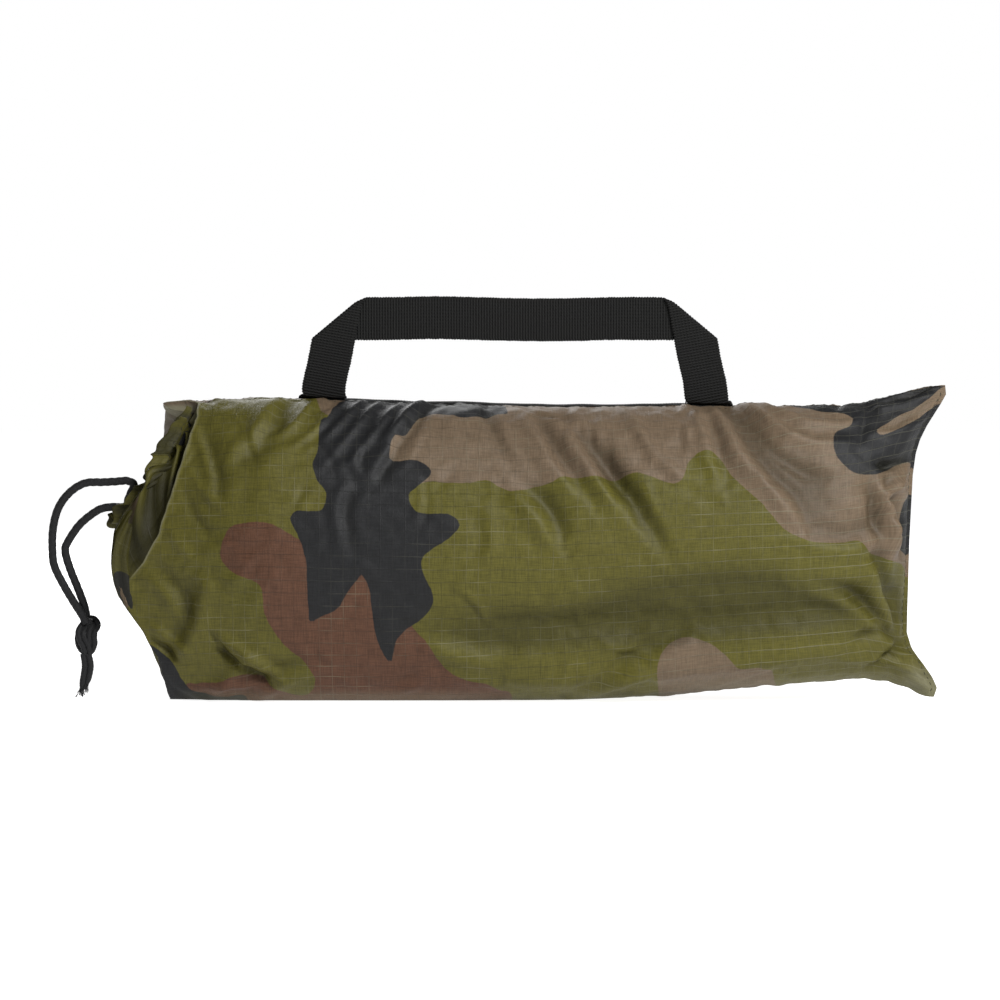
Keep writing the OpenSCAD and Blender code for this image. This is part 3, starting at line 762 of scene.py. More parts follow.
BROWN_PATCHES = [
    [(-182, 87), (-177, 99), (-167, 102), (-155, 102), (-144, 97), (-133, 92), (-104, 84), (-84, 68),
     (-73, 46), (-63, 35), (-55, 22), (-44, 16), (-30, 13), (-23, 8), (-16, 2), (-20, -16), (-60, -26),
     (-110, -12), (-150, -22), (-206, -8), (-205, 6), (-197, 12), (-185, 14), (-174, 18), (-162, 15),
     (-148, 8), (-137, 5), (-131, 8), (-129, 16), (-136, 26), (-146, 35), (-153, 45), (-157, 54),
     (-158, 66), (-165, 71), (-175, 75), (-181, 81)],
    [(-166, -110), (-140, -122), (-110, -112), (-90, -90), (-98, -68), (-78, -50), (-58, -30), (-70, -8),
     (-112, -4), (-122, -26), (-144, -34), (-170, -52), (-160, -78), (-176, -96)],
    [(60, -142), (86, -130), (104, -108), (134, -98), (154, -80), (142, -58), (112, -48), (96, -64),
     (88, -88), (64, -98), (44, -118)],
    [(6, -146), (30, -136), (48, -150), (44, -196), (0, -196)],
]
BLACK_PATCHES = [
    [(-19, 165), (-19, 165), (-30, 164), (-44, 162.5), (-58, 164), (-68, 163), (-72, 160), (-77, 153),
     (-84, 150), (-86, 140), (-81, 138), (-70, 138), (-62, 132), (-70, 124), (-75, 119), (-70, 110),
     (-52, 109), (-46, 103), (-53, 95), (-66, 86), (-67, 78), (-61, 64), (-63, 55), (-70, 48), (-81, 39),
     (-85, 26), (-86, 25), (-89, 29), (-94, 42), (-97, 66), (-101, 74), (-102, 74), (-110, 64), (-115, 56),
     (-126, 50), (-131, 48), (-132, 59), (-133, 81), (-137, 94), (-142, 104), (-139, 109), (-132, 109),
     (-124, 110), (-122, 119), (-127, 126), (-130, 135), (-127, 142), (-126, 157), (-121, 161), (-114, 172),
     (-112, 190), (-30, 190), (-22, 176)],
    [(138, 171), (158, 166.5), (174, 163), (175, 157), (168, 154), (166, 146), (170, 137), (178, 129),
     (187, 125), (197, 124), (216, 127), (262, 124), (262, 200), (140, 190)],
    [(212, 100), (216, 106), (236, 106), (236, 76), (217, 77), (212, 84)],
    [(-232, 28), (-213, 26), (-206, 15), (-199, 8), (-182, 4), (-168, 1), (-174, -12), (-230, -8)],
    [(-22, -152), (-4, -130), (-28, -120), (-20, -102), (-46, -110), (-60, -88), (-70, -108), (-94, -98),
     (-90, -120), (-116, -130), (-96, -146), (-110, -164), (-96, -196), (-18, -196)],
    [(18, -68), (48, -54), (72, -62), (96, -40), (86, -20), (56, -26), (40, -6), (10, -16), (-16, -8),
     (-28, -26), (2, -38), (-4, -54)],
    [(176, -98), (194, -118), (232, -112), (262, -116), (262, -74), (222, -66), (204, -82), (188, -78)],
    [(-262, 50), (-242, 49), (-233, 42), (-234, 36), (-262, 32)],
    [(-202, -98), (-180, -112), (-168, -92), (-178, -74), (-162, -58), (-180, -38), (-206, -30),
     (-236, -42), (-250, -72), (-222, -84)],
]
TAN_OVER_BLACK = [
    [(190, 151), (197, 156), (211, 163), (230, 172), (262, 178), (262, 165), (233, 163), (217, 156),
     (203, 149), (194, 147)],
    [(188, 172), (203, 176), (217, 180), (226, 184), (220, 196), (190, 190)],
]


def inside_distance(at, outline):
    """Distance inside a closed outline, negative outside it."""
    best = np.full(len(at), 1e9)
    inside = np.zeros(len(at), bool)
    a = outline
    b = np.roll(outline, -1, axis=0)
    for p, q in zip(a, b):
        d = q - p
        length = d @ d
        if length < 1e-12:
            continue
        f = np.clip(((at - p) @ d) / length, 0, 1)
        best = np.minimum(best, np.hypot(*(at - p - f[:, None] * d).T))
        cross = (p[1] > at[:, 1]) != (q[1] > at[:, 1])
        if cross.any():
            x = p[0] + (at[:, 1] - p[1]) * d[0] / (d[1] if abs(d[1]) > 1e-9 else 1e-9)
            inside ^= cross & (at[:, 0] < x)
    return np.where(inside, best, -best)


def camo_fields(u, s):
    """Signed distance of every fabric point to the tan, brown and black print."""
    at = np.stack([u.ravel(), s.ravel()], 1)

    def union(patches):
        out = np.full(len(at), -50.0)
        for outline in patches:
            curve = catmull(to_fabric(outline), 5, closed=True)
            low, high = curve.min(0) - 6, curve.max(0) + 6
            near = np.all((at > low) & (at < high), axis=1)
            if near.any():
                out[near] = np.maximum(out[near], inside_distance(at[near], curve))
        return out

    black = np.minimum(union(BLACK_PATCHES), -union(TAN_OVER_BLACK))
    return {"camo_tan": union(TAN_PATCHES), "camo_brown": union(BROWN_PATCHES), "camo_black": black}


# ------------------------------------------------------------------ the sack


FLOOR_GAP = 0.35


def rest_on_floor(z):
    """Heights with everything below the floor pressed flat on it, rounded where it lifts off."""
    soft = np.log1p(np.exp(np.clip((z - FLOOR_GAP) * 1.6, -30, 30))) / 1.6
    return FLOOR_GAP + np.where(z > FLOOR_GAP + 3, z - FLOOR_GAP, soft)


SETTLE_STEP = 2          # the simulated sheet has every second point
SETTLE_FRAMES = 18
SLACK = 0.035            # share by which the sheet is larger than its shape
SETTLE_CAP = 7.0         # furthest that a point may move
# How firmly the cloth is held: everywhere, at the top seam, at the floor and at the left fold
HELD, HELD_TOP, HELD_FLOOR, HELD_FOLD = 0.42, 0.85, 0.80, 0.72


def held_weights(p, u, s):
    """How firmly each point of the sheet is held in its place while it settles."""
    held = np.full(u.shape, HELD)
    from_top = np.minimum(s, GIRTH - s)
    held = np.maximum(held, HELD_TOP * np.exp(-((from_top / 7) ** 2)))
    held = np.maximum(held, HELD_FLOOR * smooth((5 - p[..., 2]) / 4))
    held = np.maximum(held, smooth((u - END_X + 9) / 8))
    held[0] = 1.0
    held[1] = 0.9
    from_fold = np.abs(u - u[len(END_T) // SETTLE_STEP][None, :])
    return np.maximum(held, HELD_FOLD * np.exp(-((from_fold / 5) ** 2)))


def evaluated_points(obj):
    shown = obj.evaluated_get(bpy.context.evaluated_depsgraph_get())
    co = np.empty(len(shown.data.vertices) * 3)
    shown.data.vertices.foreach_get("co", co)
    return co.reshape(-1, 3) / MM


def soften(d, passes):
    for _ in range(passes):
        d = (np.concatenate([d[:1], d[:-1]]) + 2 * d + np.concatenate([d[1:], d[-1:]])) / 4
        d = (np.roll(d[:, :-1], 1, 1) + 2 * d[:, :-1] + np.roll(d[:, :-1], -1, 1)) / 4
        d = np.concatenate([d, d[:, :1]], 1)
    return d


def between(values, known, count):
    """Rows of values for 0, 1, 2 ... count - 1, from the rows that are known."""
    place = np.interp(np.arange(count), known, np.arange(len(known)))
    low = np.minimum(place.astype(int), len(known) - 2)
    return lerp(values[low], values[low + 1], (place - low)[:, None, None])


def add_cloth(sheet, held):
    """Cloth modifier with slack and a slight pressure inside, held where held is near 1."""
    group = sheet.vertex_groups.new(name="held")
    for index, weight in enumerate(held.ravel()):
        group.add([index], float(weight), "REPLACE")
    cloth = sheet.modifiers.new("cloth", "CLOTH")
    settings = cloth.settings
    settings.quality = 6
    settings.mass = 0.1
    settings.tension_stiffness = settings.compression_stiffness = 20
    settings.shear_stiffness = 8
    settings.bending_stiffness = 0.5
    settings.air_damping = 2
    settings.vertex_group_mass = "held"
    settings.pin_stiffness = 1.0
    settings.shrink_min = settings.shrink_max = -SLACK
    settings.use_pressure = True
    settings.uniform_pressure_force = 1.5
    settings.effector_weights.gravity = 0
    cloth.collision_settings.use_collision = False


def settle(p, u, s):
    """Cloth simulation of the whole sack on a coarser sheet. Its slack buckles into natural folds."""
    rows = np.unique(np.append(np.arange(0, len(p), SETTLE_STEP), len(p) - 1))
    cols = np.arange(0, COLS - 1, SETTLE_STEP)
    start = p[np.ix_(rows, cols)]
    held = held_weights(start, u[np.ix_(rows, cols)], s[np.ix_(rows, cols)])
    faces = grid_faces(len(rows), len(cols), wrap_cols=True)
    sheet = mesh_object("settling_sheet", start.reshape(-1, 3), faces, CAMO)
    add_cloth(sheet, held)
    scene = bpy.context.scene
    for number in range(1, SETTLE_FRAMES + 1):
        scene.frame_set(number)
    moved = evaluated_points(sheet).reshape(start.shape) - start
    scene.frame_set(1)
    bpy.data.objects.remove(sheet)
    far = np.linalg.norm(moved, axis=-1, keepdims=True)
    moved *= SETTLE_CAP * np.tanh(far / SETTLE_CAP) / np.maximum(far, 1e-9)
    moved = np.concatenate([moved, moved[:, :1]], 1)
    moved = between(moved, rows, len(p))
    moved = between(moved.swapaxes(0, 1), np.append(cols, COLS - 1), COLS).swapaxes(0, 1)
    return p + soften(moved, 2)


LIP = 0.7                # the cloth stands up by this much along the left fold's upper edge
LIP_WIDTH = 0.9


def body_cloth(s):
    """The body's cloth with its folds: points, x, run over the end, painted shade, upper front and way out.
    """
    body, u, over_end = body_grid(girth_angles(COLS))
    relief = body_relief(u, np.broadcast_to(s, u.shape))
    from_fold = u - u[:1]
    upper_front = smooth((body[:1, :, 2] - 66) / 20) * (s < GIRTH / 2)
    lip = LIP * np.exp(-((from_fold - LIP_WIDTH) / LIP_WIDTH) ** 2) * upper_front
    closed = smooth((END_X - u) / 7)
    normals = grid_normals(body)
    outward = np.sign(np.sum(normals[:, COLS // 4] * np.array([0, -1, 0]), axis=-1).mean())
    lift = relief * lerp(0.35, 1, smooth(from_fold / 10)) * lerp(0.25, 1, closed) + lip
    # painted shade in the valleys of the folds, kept off the left fold's edge
    hollow = np.clip(-relief / 9, 0, 0.45) * smooth((from_fold - 2) / 6)
    return body + normals * outward * lift[..., None], u, over_end, hollow, upper_front, outward


def end_cloth(fold, u_fold, s, upper_front, outward):
    """The gathered end with its pleats: points, x and painted shade."""
    end, u = end_grid(fold, u_fold)
    t = END_T[:, None]
    lift = pleats(t, np.linspace(0, 2 * np.pi, COLS)[None, :])
    shade = pleat_shade(lift, t, upper_front, np.minimum(s, GIRTH - s)[None, :])
    return end + grid_normals(end) * outward * lift[..., None], u, shade


def build_sack():
    """Points of all the sack's cloth from the neck to the sewn end, their x and s, and their looks."""
    s = np.linspace(0, GIRTH, COLS)
    body, u_body, over_end, hollow, upper_front, outward = body_cloth(s)
    end, u_end, shade = end_cloth(body[0], u_body[0], s, upper_front, outward)
    p = np.concatenate([end[:-1], body])
    u = np.concatenate([u_end[:-1], u_body])
    s = np.broadcast_to(s, u.shape)
    seam = (p[:, 0] + p[:, -1]) / 2
    p[:, 0], p[:, -1] = seam, seam
    p = settle(p, u, s)
    p[..., 2] = rest_on_floor(p[..., 2])
    fab_u = u + np.concatenate([np.zeros_like(u_end[:-1]), over_end])
    return p, u, s, {"fab_u": fab_u, "fab_s": s, "cavity": np.concatenate([shade[:-1], hollow])}


def painted_light_on_cloth(p, u, s):
    """Painted highlight: how pale each point of the cloth is painted, on the left fold's edge, the ear and
    the lower edge, where they catch the light.
    """
    x, z = p[..., 0], p[..., 2]
    front = s < GIRTH / 2
    from_fold = u - u[END_ROWS - 1][None, :]
    from_top = np.minimum(s, GIRTH - s)
    ear = np.exp(-((from_top / EAR_HEIGHT) ** 2)) * smooth(-from_fold / 4) * smooth((from_fold + 60) / 20)
    return np.maximum.reduce([
        np.exp(-(((from_fold - 0.5) / 0.55) ** 2)) * front * smooth((z - 66) / 16),
        EAR_PALE * ear,
        LOW_PALE * smooth((20 - z) / 16) * smooth((x - 40) / 90),
        FLAP_PALE * smooth((x - 204) / 14) * smooth((24 - z) / 12),
        UNDER_PALE * smooth((10 - z) / 9) * front * smooth(from_fold / 30),
    ])


def sack_object(p, u, s, looks):
    rows, cols = u.shape
    faces = grid_faces(rows, cols)
    last = (rows - 1) * cols
    for j in range(cols // 2):                      # the end seam's thin edge
        a, b, c, d = last + j, last + j + 1, last + cols - 2 - j, last + cols - 1 - j
        faces.append([a, b, c, d] if b != c else [a, b, d])
    looks = {"painted_highlight": painted_light_on_cloth(p, u, s), **looks, **camo_fields(looks["fab_u"], s)}
    return mesh_object("sack_shell", p.reshape(-1, 3), faces, CAMO, looks)


SKIN, SKIN_X, SKIN_S, LOOKS = build_sack()
BODY_FIRST = END_ROWS - 1
UNDER_STRAP = soften(SKIN[BODY_FIRST:], 14)     # a strap bridges the small puckers below it


def on_sack(x, s, body=SKIN[BODY_FIRST:]):
    """Point and outward normal of the body at fabric place (x, s)."""
    ub = SKIN_X[BODY_FIRST:]
    x, s = np.broadcast_arrays(np.asarray(x, float), np.asarray(s, float))
    j = np.clip(s / GIRTH * (COLS - 1), 0, COLS - 1.001)
    j0 = j.astype(int)
    fj = (j - j0)[..., None]
    left = lerp(ub[0, j0], ub[0, j0 + 1], fj[..., 0])
    t = np.clip((x - left) / (END_X - left), 0, 1)
    i = np.clip(np.interp(t, BODY_T, np.arange(BODY_ROWS)), 0, BODY_ROWS - 1.001)
    i0 = i.astype(int)
    fi = (i - i0)[..., None]
    q00, q01, q10, q11 = body[i0, j0], body[i0, j0 + 1], body[i0 + 1, j0], body[i0 + 1, j0 + 1]
    point = lerp(lerp(q00, q01, fj), lerp(q10, q11, fj), fi)
    du = lerp(q10 - q00, q11 - q01, fj)
    dv = lerp(q01 - q00, q11 - q10, fi)
    n = unit(np.cross(du, dv))
    mid = np.array([0, 0, 85.0])
    away = (point - mid) * np.array([0, 1, 1])
    n = n * np.sign(np.sum(n * away, axis=-1, keepdims=True))
    return point, n


place(sack_object(SKIN, SKIN_X, SKIN_S, LOOKS), "sack_cloth")

# ------------------------------------------------------------------ webbing

WEB_W, WEB_T = 25.0, 1.4
WEB_EDGE = 1.6                  # the woven edge is this wide
EDGE_RELIEF, EDGE_WAVER, RIB_RELIEF = 0.22, 0.07, 0.09
STRAP_STEP = 0.4
LAYER = 0.85                    # half the distance between the two layers at a fold
FOOT_LIFT = 2.75                # from the cloth to the middle of a foot, which lies over the seam run
TIP_IN = 1.6                    # the fold's pointed end is pressed in by this much
GRIP_TOP, GRIP_LEFT, GRIP_RIGHT = 233.0, -101.5, 72.5
FOLD_ANGLE = math.radians(39.8)
LEG_OUT = 92.0                  # strap beyond each fold: leg, turn over the seam, and sewn foot


def section_loop(width, thick, across):
    """Cross-section of a strap with rounded edges: (distance across, distance up) round the loop."""
    w = np.linspace(-width / 2 + thick / 2, width / 2 - thick / 2, across)
    arc = np.linspace(-np.pi / 2, np.pi / 2, 5)[1:-1]
    right = np.stack([w[-1] + thick / 2 * np.cos(arc[::-1]), thick / 2 * np.sin(arc[::-1])], 1)
    left = np.stack([w[0] - thick / 2 * np.cos(arc), thick / 2 * np.sin(arc)], 1)
    top = np.stack([w, 0 * w + thick / 2], 1)
    bottom = np.stack([w[::-1], 0 * w - thick / 2], 1)
    return np.concatenate([top, right, bottom, left])


def strap_object(name, lengths, bend, seed):
    """A woven strap: bend(l, w, t) carries its flat coordinates (along, across, up) to space."""
    rng = np.random.default_rng(seed)
    loop = section_loop(WEB_W, WEB_T, 22)
    l = np.asarray(lengths, float)[:, None]
    w = np.broadcast_to(loop[:, 0], (len(lengths), len(loop))).copy()
    t = np.broadcast_to(loop[:, 1], w.shape).copy()
    edge = np.clip((np.abs(w) - (WEB_W / 2 - WEB_EDGE)) / WEB_EDGE, 0, 1)
    rib = np.sin(2 * np.pi * l / RIB)
    loose = noise1(len(lengths), 5, rng)[:, None] * EDGE_WAVER
    w += np.sign(w) * edge * (EDGE_RELIEF * rib + loose)
    t += np.sign(t) * RIB_RELIEF * rib * (1 - edge) * np.sign(np.abs(t) - WEB_T / 4)
    p = bend(l + 0 * w, w, t)
    n, m = w.shape
    faces = grid_faces(n, m, wrap_cols=True) + end_caps(n, m)
    flat = {"web_l": l + 0 * w, "web_w": np.broadcast_to(loop[:, 0], w.shape)}
    return mesh_object(name, p.reshape(-1, 3), faces, WEBBING, flat)


def web_marks(marks):
    """Places along and across a weave, for the webbing's material."""
    along, across = np.concatenate(marks).T
    return {"web_l": along, "web_w": across}


def fold_over(x, z, y, corner, direction, outward, t):
    """Folds the flat strap over a line: what lies beyond the line comes back in front."""
    d, n = np.array(direction), np.array(outward)
    rel = np.stack([x - corner[0], z - corner[1]], -1)
    q, along = rel @ n, rel @ d
    half_turn = np.pi * LAYER / 2
    turn = np.clip(q / LAYER, -np.pi / 2, np.pi / 2)
    p = np.where(q > half_turn, half_turn - q, (LAYER + t) * np.cos(turn))
    p = np.where(q < -half_turn, q + half_turn, p)
    depth = -(LAYER + t) * np.sin(turn)
    beyond = q > -half_turn
    p = p - TIP_IN * np.exp(-((along / 4) ** 2)) * smooth((p + 5) / 5)
    new = np.array(corner) + along[..., None] * d + p[..., None] * n
    return np.where(beyond, new[..., 0], x), np.where(beyond, new[..., 1], z), np.where(beyond, depth, y)


def seam_height(x):
    return np.interp(x, SKIN[BODY_FIRST:, 0, 0], SKIN[BODY_FIRST:, 0, 2])


def lay_on_back(x, z, y, lift):
    """Carries a strap that hangs in the upright plane over the top seam and down the back."""
    top = seam_height(x) + 2.2
    below = top - z
    point, normal = on_sack(x, GIRTH - np.clip(below, 0.0, 60), UNDER_STRAP)
    on = point + normal * (lift + y)[..., None]
    free = np.stack([x, y + 0 * x, z], -1)
    share = smooth((below + 4) / 9)[..., None]
    return lerp(free, on, share)


GRIP_SWAY, GRIP_BOW, LEG_BOW = 0.7, 1.6, 0.8    # how far the grip and the legs are from straight


def bend_handle(l, w, t):
    """The handle from foot to foot: the grip, a fold at each corner, and the legs down the back."""
    sway = np.sin((l - GRIP_LEFT) / (GRIP_RIGHT - GRIP_LEFT) * np.pi * 2.3 + 0.4)
    inside = smooth((np.minimum(l - GRIP_LEFT, GRIP_RIGHT - l) - 8) / 40)
    z = GRIP_TOP - WEB_W / 2 + w + GRIP_SWAY * sway * inside
    y = LAYER + t + GRIP_BOW * inside * np.sin((l - GRIP_LEFT) / 60)
    c, s = math.cos(FOLD_ANGLE), math.sin(FOLD_ANGLE)
    left = l < (GRIP_LEFT + GRIP_RIGHT) / 2
    folded = [fold_over(l, z, y, (corner, GRIP_TOP), (side * c, -s), (side * s, c), t)
              for corner, side in ((GRIP_LEFT, -1), (GRIP_RIGHT, 1))]
    x, z, y = [np.where(left, one, two) for one, two in zip(*folded)]
    bow = smooth((200 - z) / 20) * smooth((z - 172) / 14)
    x = x + np.where(left, -LEG_BOW, LEG_BOW) * bow
    return lay_on_back(x, z, y, FOOT_LIFT + LAYER)


def build_handle():
    lengths = np.arange(GRIP_LEFT - LEG_OUT, GRIP_RIGHT + LEG_OUT, STRAP_STEP)
    strap = strap_object("handle_strap", lengths, bend_handle, seed=3)
    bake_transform(strap)
    place(strap, "handle_webbing", "handle_left_foot", "handle_right_foot", body=None)


SEAM_RUN = (-133.0, 104.0)
SEAM_RUN_START = 0.8      # the strap's upper edge lies this far down the back, sewn into the seam
RUN_LIFT = 1.3            # from the cloth to the middle of the strap


def bend_seam_run(l, w, t):
    down = w + WEB_W / 2
    point, normal = on_sack(l, GIRTH - np.clip(down + SEAM_RUN_START, 0.0, 60), UNDER_STRAP)
    lift = lerp(0.15, RUN_LIFT, smooth(down / 5))
    return point + normal * (lift + t)[..., None]


def build_seam_run():
    lengths = np.arange(*SEAM_RUN, STRAP_STEP)
    place(strap_object("seam_strap", lengths, bend_seam_run, seed=5), "handle_seam_run")


# ------------------------------------------------------------------ cord and thread


def sweep_frames(path, closed=False):
    """Tangent and two cross directions along a path, with no twist added."""
    t = unit(np.roll(path, -1, 0) - np.roll(path, 1, 0) if closed else np.gradient(path, axis=0))
    n = np.zeros_like(t)
    start = np.array([0.0, 1, 0]) if abs(t[0][1]) < 0.9 else np.array([1.0, 0, 0])
    n[0] = unit(start - t[0] * (start @ t[0]))
    for i in range(1, len(t)):
        v = n[i - 1] - t[i] * (n[i - 1] @ t[i])
        n[i] = v / max(np.linalg.norm(v), 1e-9)
    b = np.cross(t, n)
    if closed:
        miss = math.atan2(n[-1] @ b[0], n[-1] @ n[0])
        turn = -miss * np.linspace(0, 1, len(t))[:, None]
        n, b = n * np.cos(turn) + b * np.sin(turn), b * np.cos(turn) - n * np.sin(turn)
    return t, n, b


BRAID_STRANDS = 5
BRAID = 0.075            # relief of the drawcord's plait, as a share of its radius


def tube(path, radius, sides, closed=False, braid=0.0, pitch=4.2):
    """Points and faces of a round cord along an even path. braid is the relief of its plait."""
    _, n, b = sweep_frames(path, closed)
    rows = len(path)
    a = np.linspace(0, 2 * np.pi, sides, endpoint=False)[None, :]
    run = run_along(path)[:, None]
    r = np.broadcast_to(np.asarray(radius, float).reshape(-1, 1), (rows, 1)) + 0 * a
    if braid:
        twist = 2 * np.pi * run / pitch
        one, two = np.cos(BRAID_STRANDS * a + twist), np.cos(BRAID_STRANDS * a - twist)
        r = r * (1 + braid * (np.maximum(one, two) - 0.45))
    p = path[:, None] + r[..., None] * (np.cos(a)[..., None] * n[:, None] + np.sin(a)[..., None] * b[:, None])
    faces = grid_faces(rows, sides, wrap_rows=closed, wrap_cols=True)
    if not closed:
        faces += [face[::-1] for face in end_caps(rows, sides)]
    return p.reshape(-1, 3), faces


def join_parts(parts):
    verts, faces, start = [], [], 0
    for v, f in parts:
        verts.append(v)
        faces += [[k + start for k in face] for face in f]
        start += len(v)
    return np.concatenate(verts), faces


CORD_R, CORD_STEP = 2.3, 0.42
EXIT_X, EXIT_Y = -252.4, -15.9         # the strands turn here, just outside the hem
UPPER_STRAND = [
    (-226, -5, 112), (-234, -9, 111), (-238.5, -13.2, 113.5), (-236.6, -15.4, 119.5), (-234.6, -15.8, 124.6),
    (-238.5, -15.9, 126.8), (-245, -15.9, 126.4), (EXIT_X, EXIT_Y, 126), (-263, EXIT_Y, 125.4),
    (-271.8, -15.9, 120), (-278.4, -15.5, 111), (-281.6, -15.2, 99), (-282, -15, 86), (-280.8, -15, 77),
    (-275.4, -15, 66), (-269.8, -15.1, 56.5), (-265, -15.4, 49), (-262.6, -15.3, 44)]
LOWER_STRAND = [
    (-226, -7, 110), (-234, -12.6, 109.6), (-243, -15.4, 111.6), (EXIT_X, EXIT_Y, 111), (-259, -15.8, 107.5),
    (-266.5, -15.5, 101), (-273, -15.2, 91.5), (-274.6, -15, 86), (-272, -14.6, 76), (-267, -13.6, 63),
    (-263.8, -11.8, 53), (-262.4, -10.8, 44)]
# The strands are cut between two joints. Each piece: (name, share where it starts and ends, the two bodies,
# the plane where it leaves the first and the one where it is all on the second in metres, CAD nodes)
BEND_MID, DROP_MID = 0.47, 0.83
STRAND_PIECES = [
    ("drawcord_top", 0.0, BEND_MID, ("cord_root", "cord_bend"),
     (-0.2475, 0, 0.12), (-0.266, 0, 0.12), ("cord_roots",)),
    ("drawcord_middle", BEND_MID, DROP_MID, ("cord_bend", "cord_drop"),
     (0, 0, 0.091), (0, 0, 0.081), ("cord_upper_bend", "cord_lower_bend")),
    ("drawcord_low", DROP_MID, 1.0, ("cord_drop", "cord_end"),
     (0, 0, 0.051), (0, 0, 0.044), ("cord_upper_drop", "cord_lower_drop")),
]


def strand_part(points, low, high):
    path = even(catmull(points, 10), CORD_STEP)
    return tube(path[int(len(path) * low):int(len(path) * high) + 2], CORD_R, 22, braid=BRAID)


def build_cords():
    for name, low, high, bodies, start, end, nodes in STRAND_PIECES:
        parts = [strand_part(points, low, high) for points in (UPPER_STRAND, LOWER_STRAND)]
        obj = mesh_object(name, *join_parts(parts), CORD)
        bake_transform(obj)
        place(obj, *nodes, body=None)


KNOT = np.array([-262.4, -13.0, 36.0])
KNOT_GUIDE = [           # measured from the knot's middle
    (0.6, -1.5, 11.5), (-0.6, -0.8, 8.2), (-2.6, 1.8, 4.2), (-4.4, 3.2, -1.2), (-2.8, 2.2, -6.2),
    (0.8, 0.4, -7.6), (3.0, -2.0, -3.8), (3.0, -3.2, 0.6), (3.4, -2.2, 4.2), (4.8, 0.4, 7.0),
    (2.6, 2.4, 9.4), (-0.6, 0.2, 7.4), (-3.2, -3.2, 3.4), (-2.4, -3.4, -1.0), (-0.4, -2.2, -5.4),
    (0.4, -1.6, -10.0)]


def knot_path(offset):
    """One strand of the overhand knot: in at the top, round one full turn, through, and out below."""
    path = even(catmull(KNOT_GUIDE, 10), 0.4)
    tangent = sweep_frames(path)[0]
    return KNOT + path + unit(np.cross(tangent, [0, 1, 0])) * offset


KNOT_R, KNOT_APART = 1.7, 1.5     # radius of a strand in the knot, and half the space between the two
TAIL_R, TAIL_TIP_R = 1.8, 1.25
FIBRES, FIBRE_R = 26, 0.17


def build_knot():
    parts = [tube(knot_path(side * KNOT_APART), KNOT_R, 20, braid=0.08) for side in (-1, 1)]
    place(mesh_object("overhand_knot", *join_parts(parts), CORD), "cord_knot", body="cord_end")


def frayed_end(path, rng):
    """Loose fibres at the cut end of a cord."""
    tip, down = path[-2], unit(path[-1] - path[-4])
    fibres = []
    for _ in range(FIBRES):
        spread = rng.normal(0, 0.55, 3) * (1, 1, 0)
        flare = spread * rng.uniform(1.6, 3.0) + rng.normal(0, 0.3, 3) * (1, 1, 0)
        reach = rng.uniform(3.0, 7.0)
        middle = tip + down * reach * 0.5 + spread * 1.2
        line = np.array([tip + spread * 0.9, middle, tip + down * reach + flare])
        line[:, 2] = np.maximum(line[:, 2], 0.5)
        fibres.append(tube(even(catmull(line, 4), 1.0), FIBRE_R, 4))
    return fibres


def build_tails():
    tails, fibres = [], []
    rng = np.random.default_rng(23)
    for side in (-1, 1):
        guide = KNOT + [(side * 1.5 - 0.6, -1.6, -9.6), (side * 1.7 + 0.4, -1, -16),
                        (side * 1.6 - 0.4, -0.4, -22), (side * 1.5 - 1.8, 0, side - 28)]
        path = even(catmull(guide, 8), CORD_STEP)
        radius = np.full(len(path), TAIL_R)
        radius[-8:] = np.linspace(TAIL_R, TAIL_TIP_R, 8)
        tails.append(tube(path, radius, 20, braid=BRAID))
        fibres += frayed_end(path, rng)
    place(mesh_object("cord_tail_ends", *join_parts(tails + fibres), CORD), "cord_tails", body="cord_end")


STITCH_SINK = 0.12       # a stitch is pulled into the cloth by this much


def stitches(points, normals, length=2.7, gap=1.2, radius=0.24):
    """A row of stitches along a line on the cloth, each a short curved thread."""
    run = run_along(points)
    f = np.linspace(0, 1, 5)
    rise = radius * 0.9 - STITCH_SINK - (1 - np.sin(np.pi * f)) * radius * 1.7
    parts = []
    for start in np.arange(0, run[-1] - length, length + gap):
        s = start + f * length
        path = at_run(s, run, points) + unit(at_run(s, run, normals)) * rise[:, None]
        parts.append(tube(path, radius, 6))
    return parts


TOP_ROW = 3.4            # the top seam's stitches lie this far down each side


def build_top_seam():
    x = np.arange(-212.0, 214.0, 1.0)
    parts = []
    for s in (TOP_ROW, GIRTH - TOP_ROW):
        parts += stitches(*on_sack(x, s))
    place(mesh_object("top_seam_thread", *join_parts(parts), THREAD), "top_seam_stitches")


def build_end_seam():
    parts = []
    row = BODY_FIRST + BODY_ROWS - FIN_ROWS - 5
    normals = grid_normals(SKIN[row - 3:row + 4])[3]
    half = COLS // 2
    for cols in (slice(3, half - 3), slice(COLS - 4, half + 3, -1)):
        line = SKIN[row, cols]
        n = normals[cols] * np.sign(normals[cols][:, 1:2] * (1 if cols.step else -1) + 1e-9)
        parts += stitches(line, n)
    place(mesh_object("end_seam_thread", *join_parts(parts), THREAD), "end_seam_stitches")


def box_cross(origin, size, seam, lift):
    """Stitching of a strap's foot: a box with a cross in it. seam(x, d) gives a place on the strap."""
    x0, d0 = origin
    w, d = size
    corners = [(x0, d0), (x0 + w, d0), (x0 + w, d0 + d), (x0, d0 + d), (x0, d0)]
    lines = [corners, [(x0, d0), (x0 + w, d0 + d)], [(x0 + w, d0), (x0, d0 + d)]]
    parts = []
    for line in lines:
        path = even(np.array(line, float), 1.0)
        point, normal = seam(path[:, 0], path[:, 1])
        parts += stitches(point + normal * lift, normal, 2.4, 0.9, 0.26)
    return parts


FOOT_BOX_X = (-133.5, 85.5)
FOOT_BOX_DOWN, FOOT_BOX_SIZE = 6.5, (18.5, 14.0)


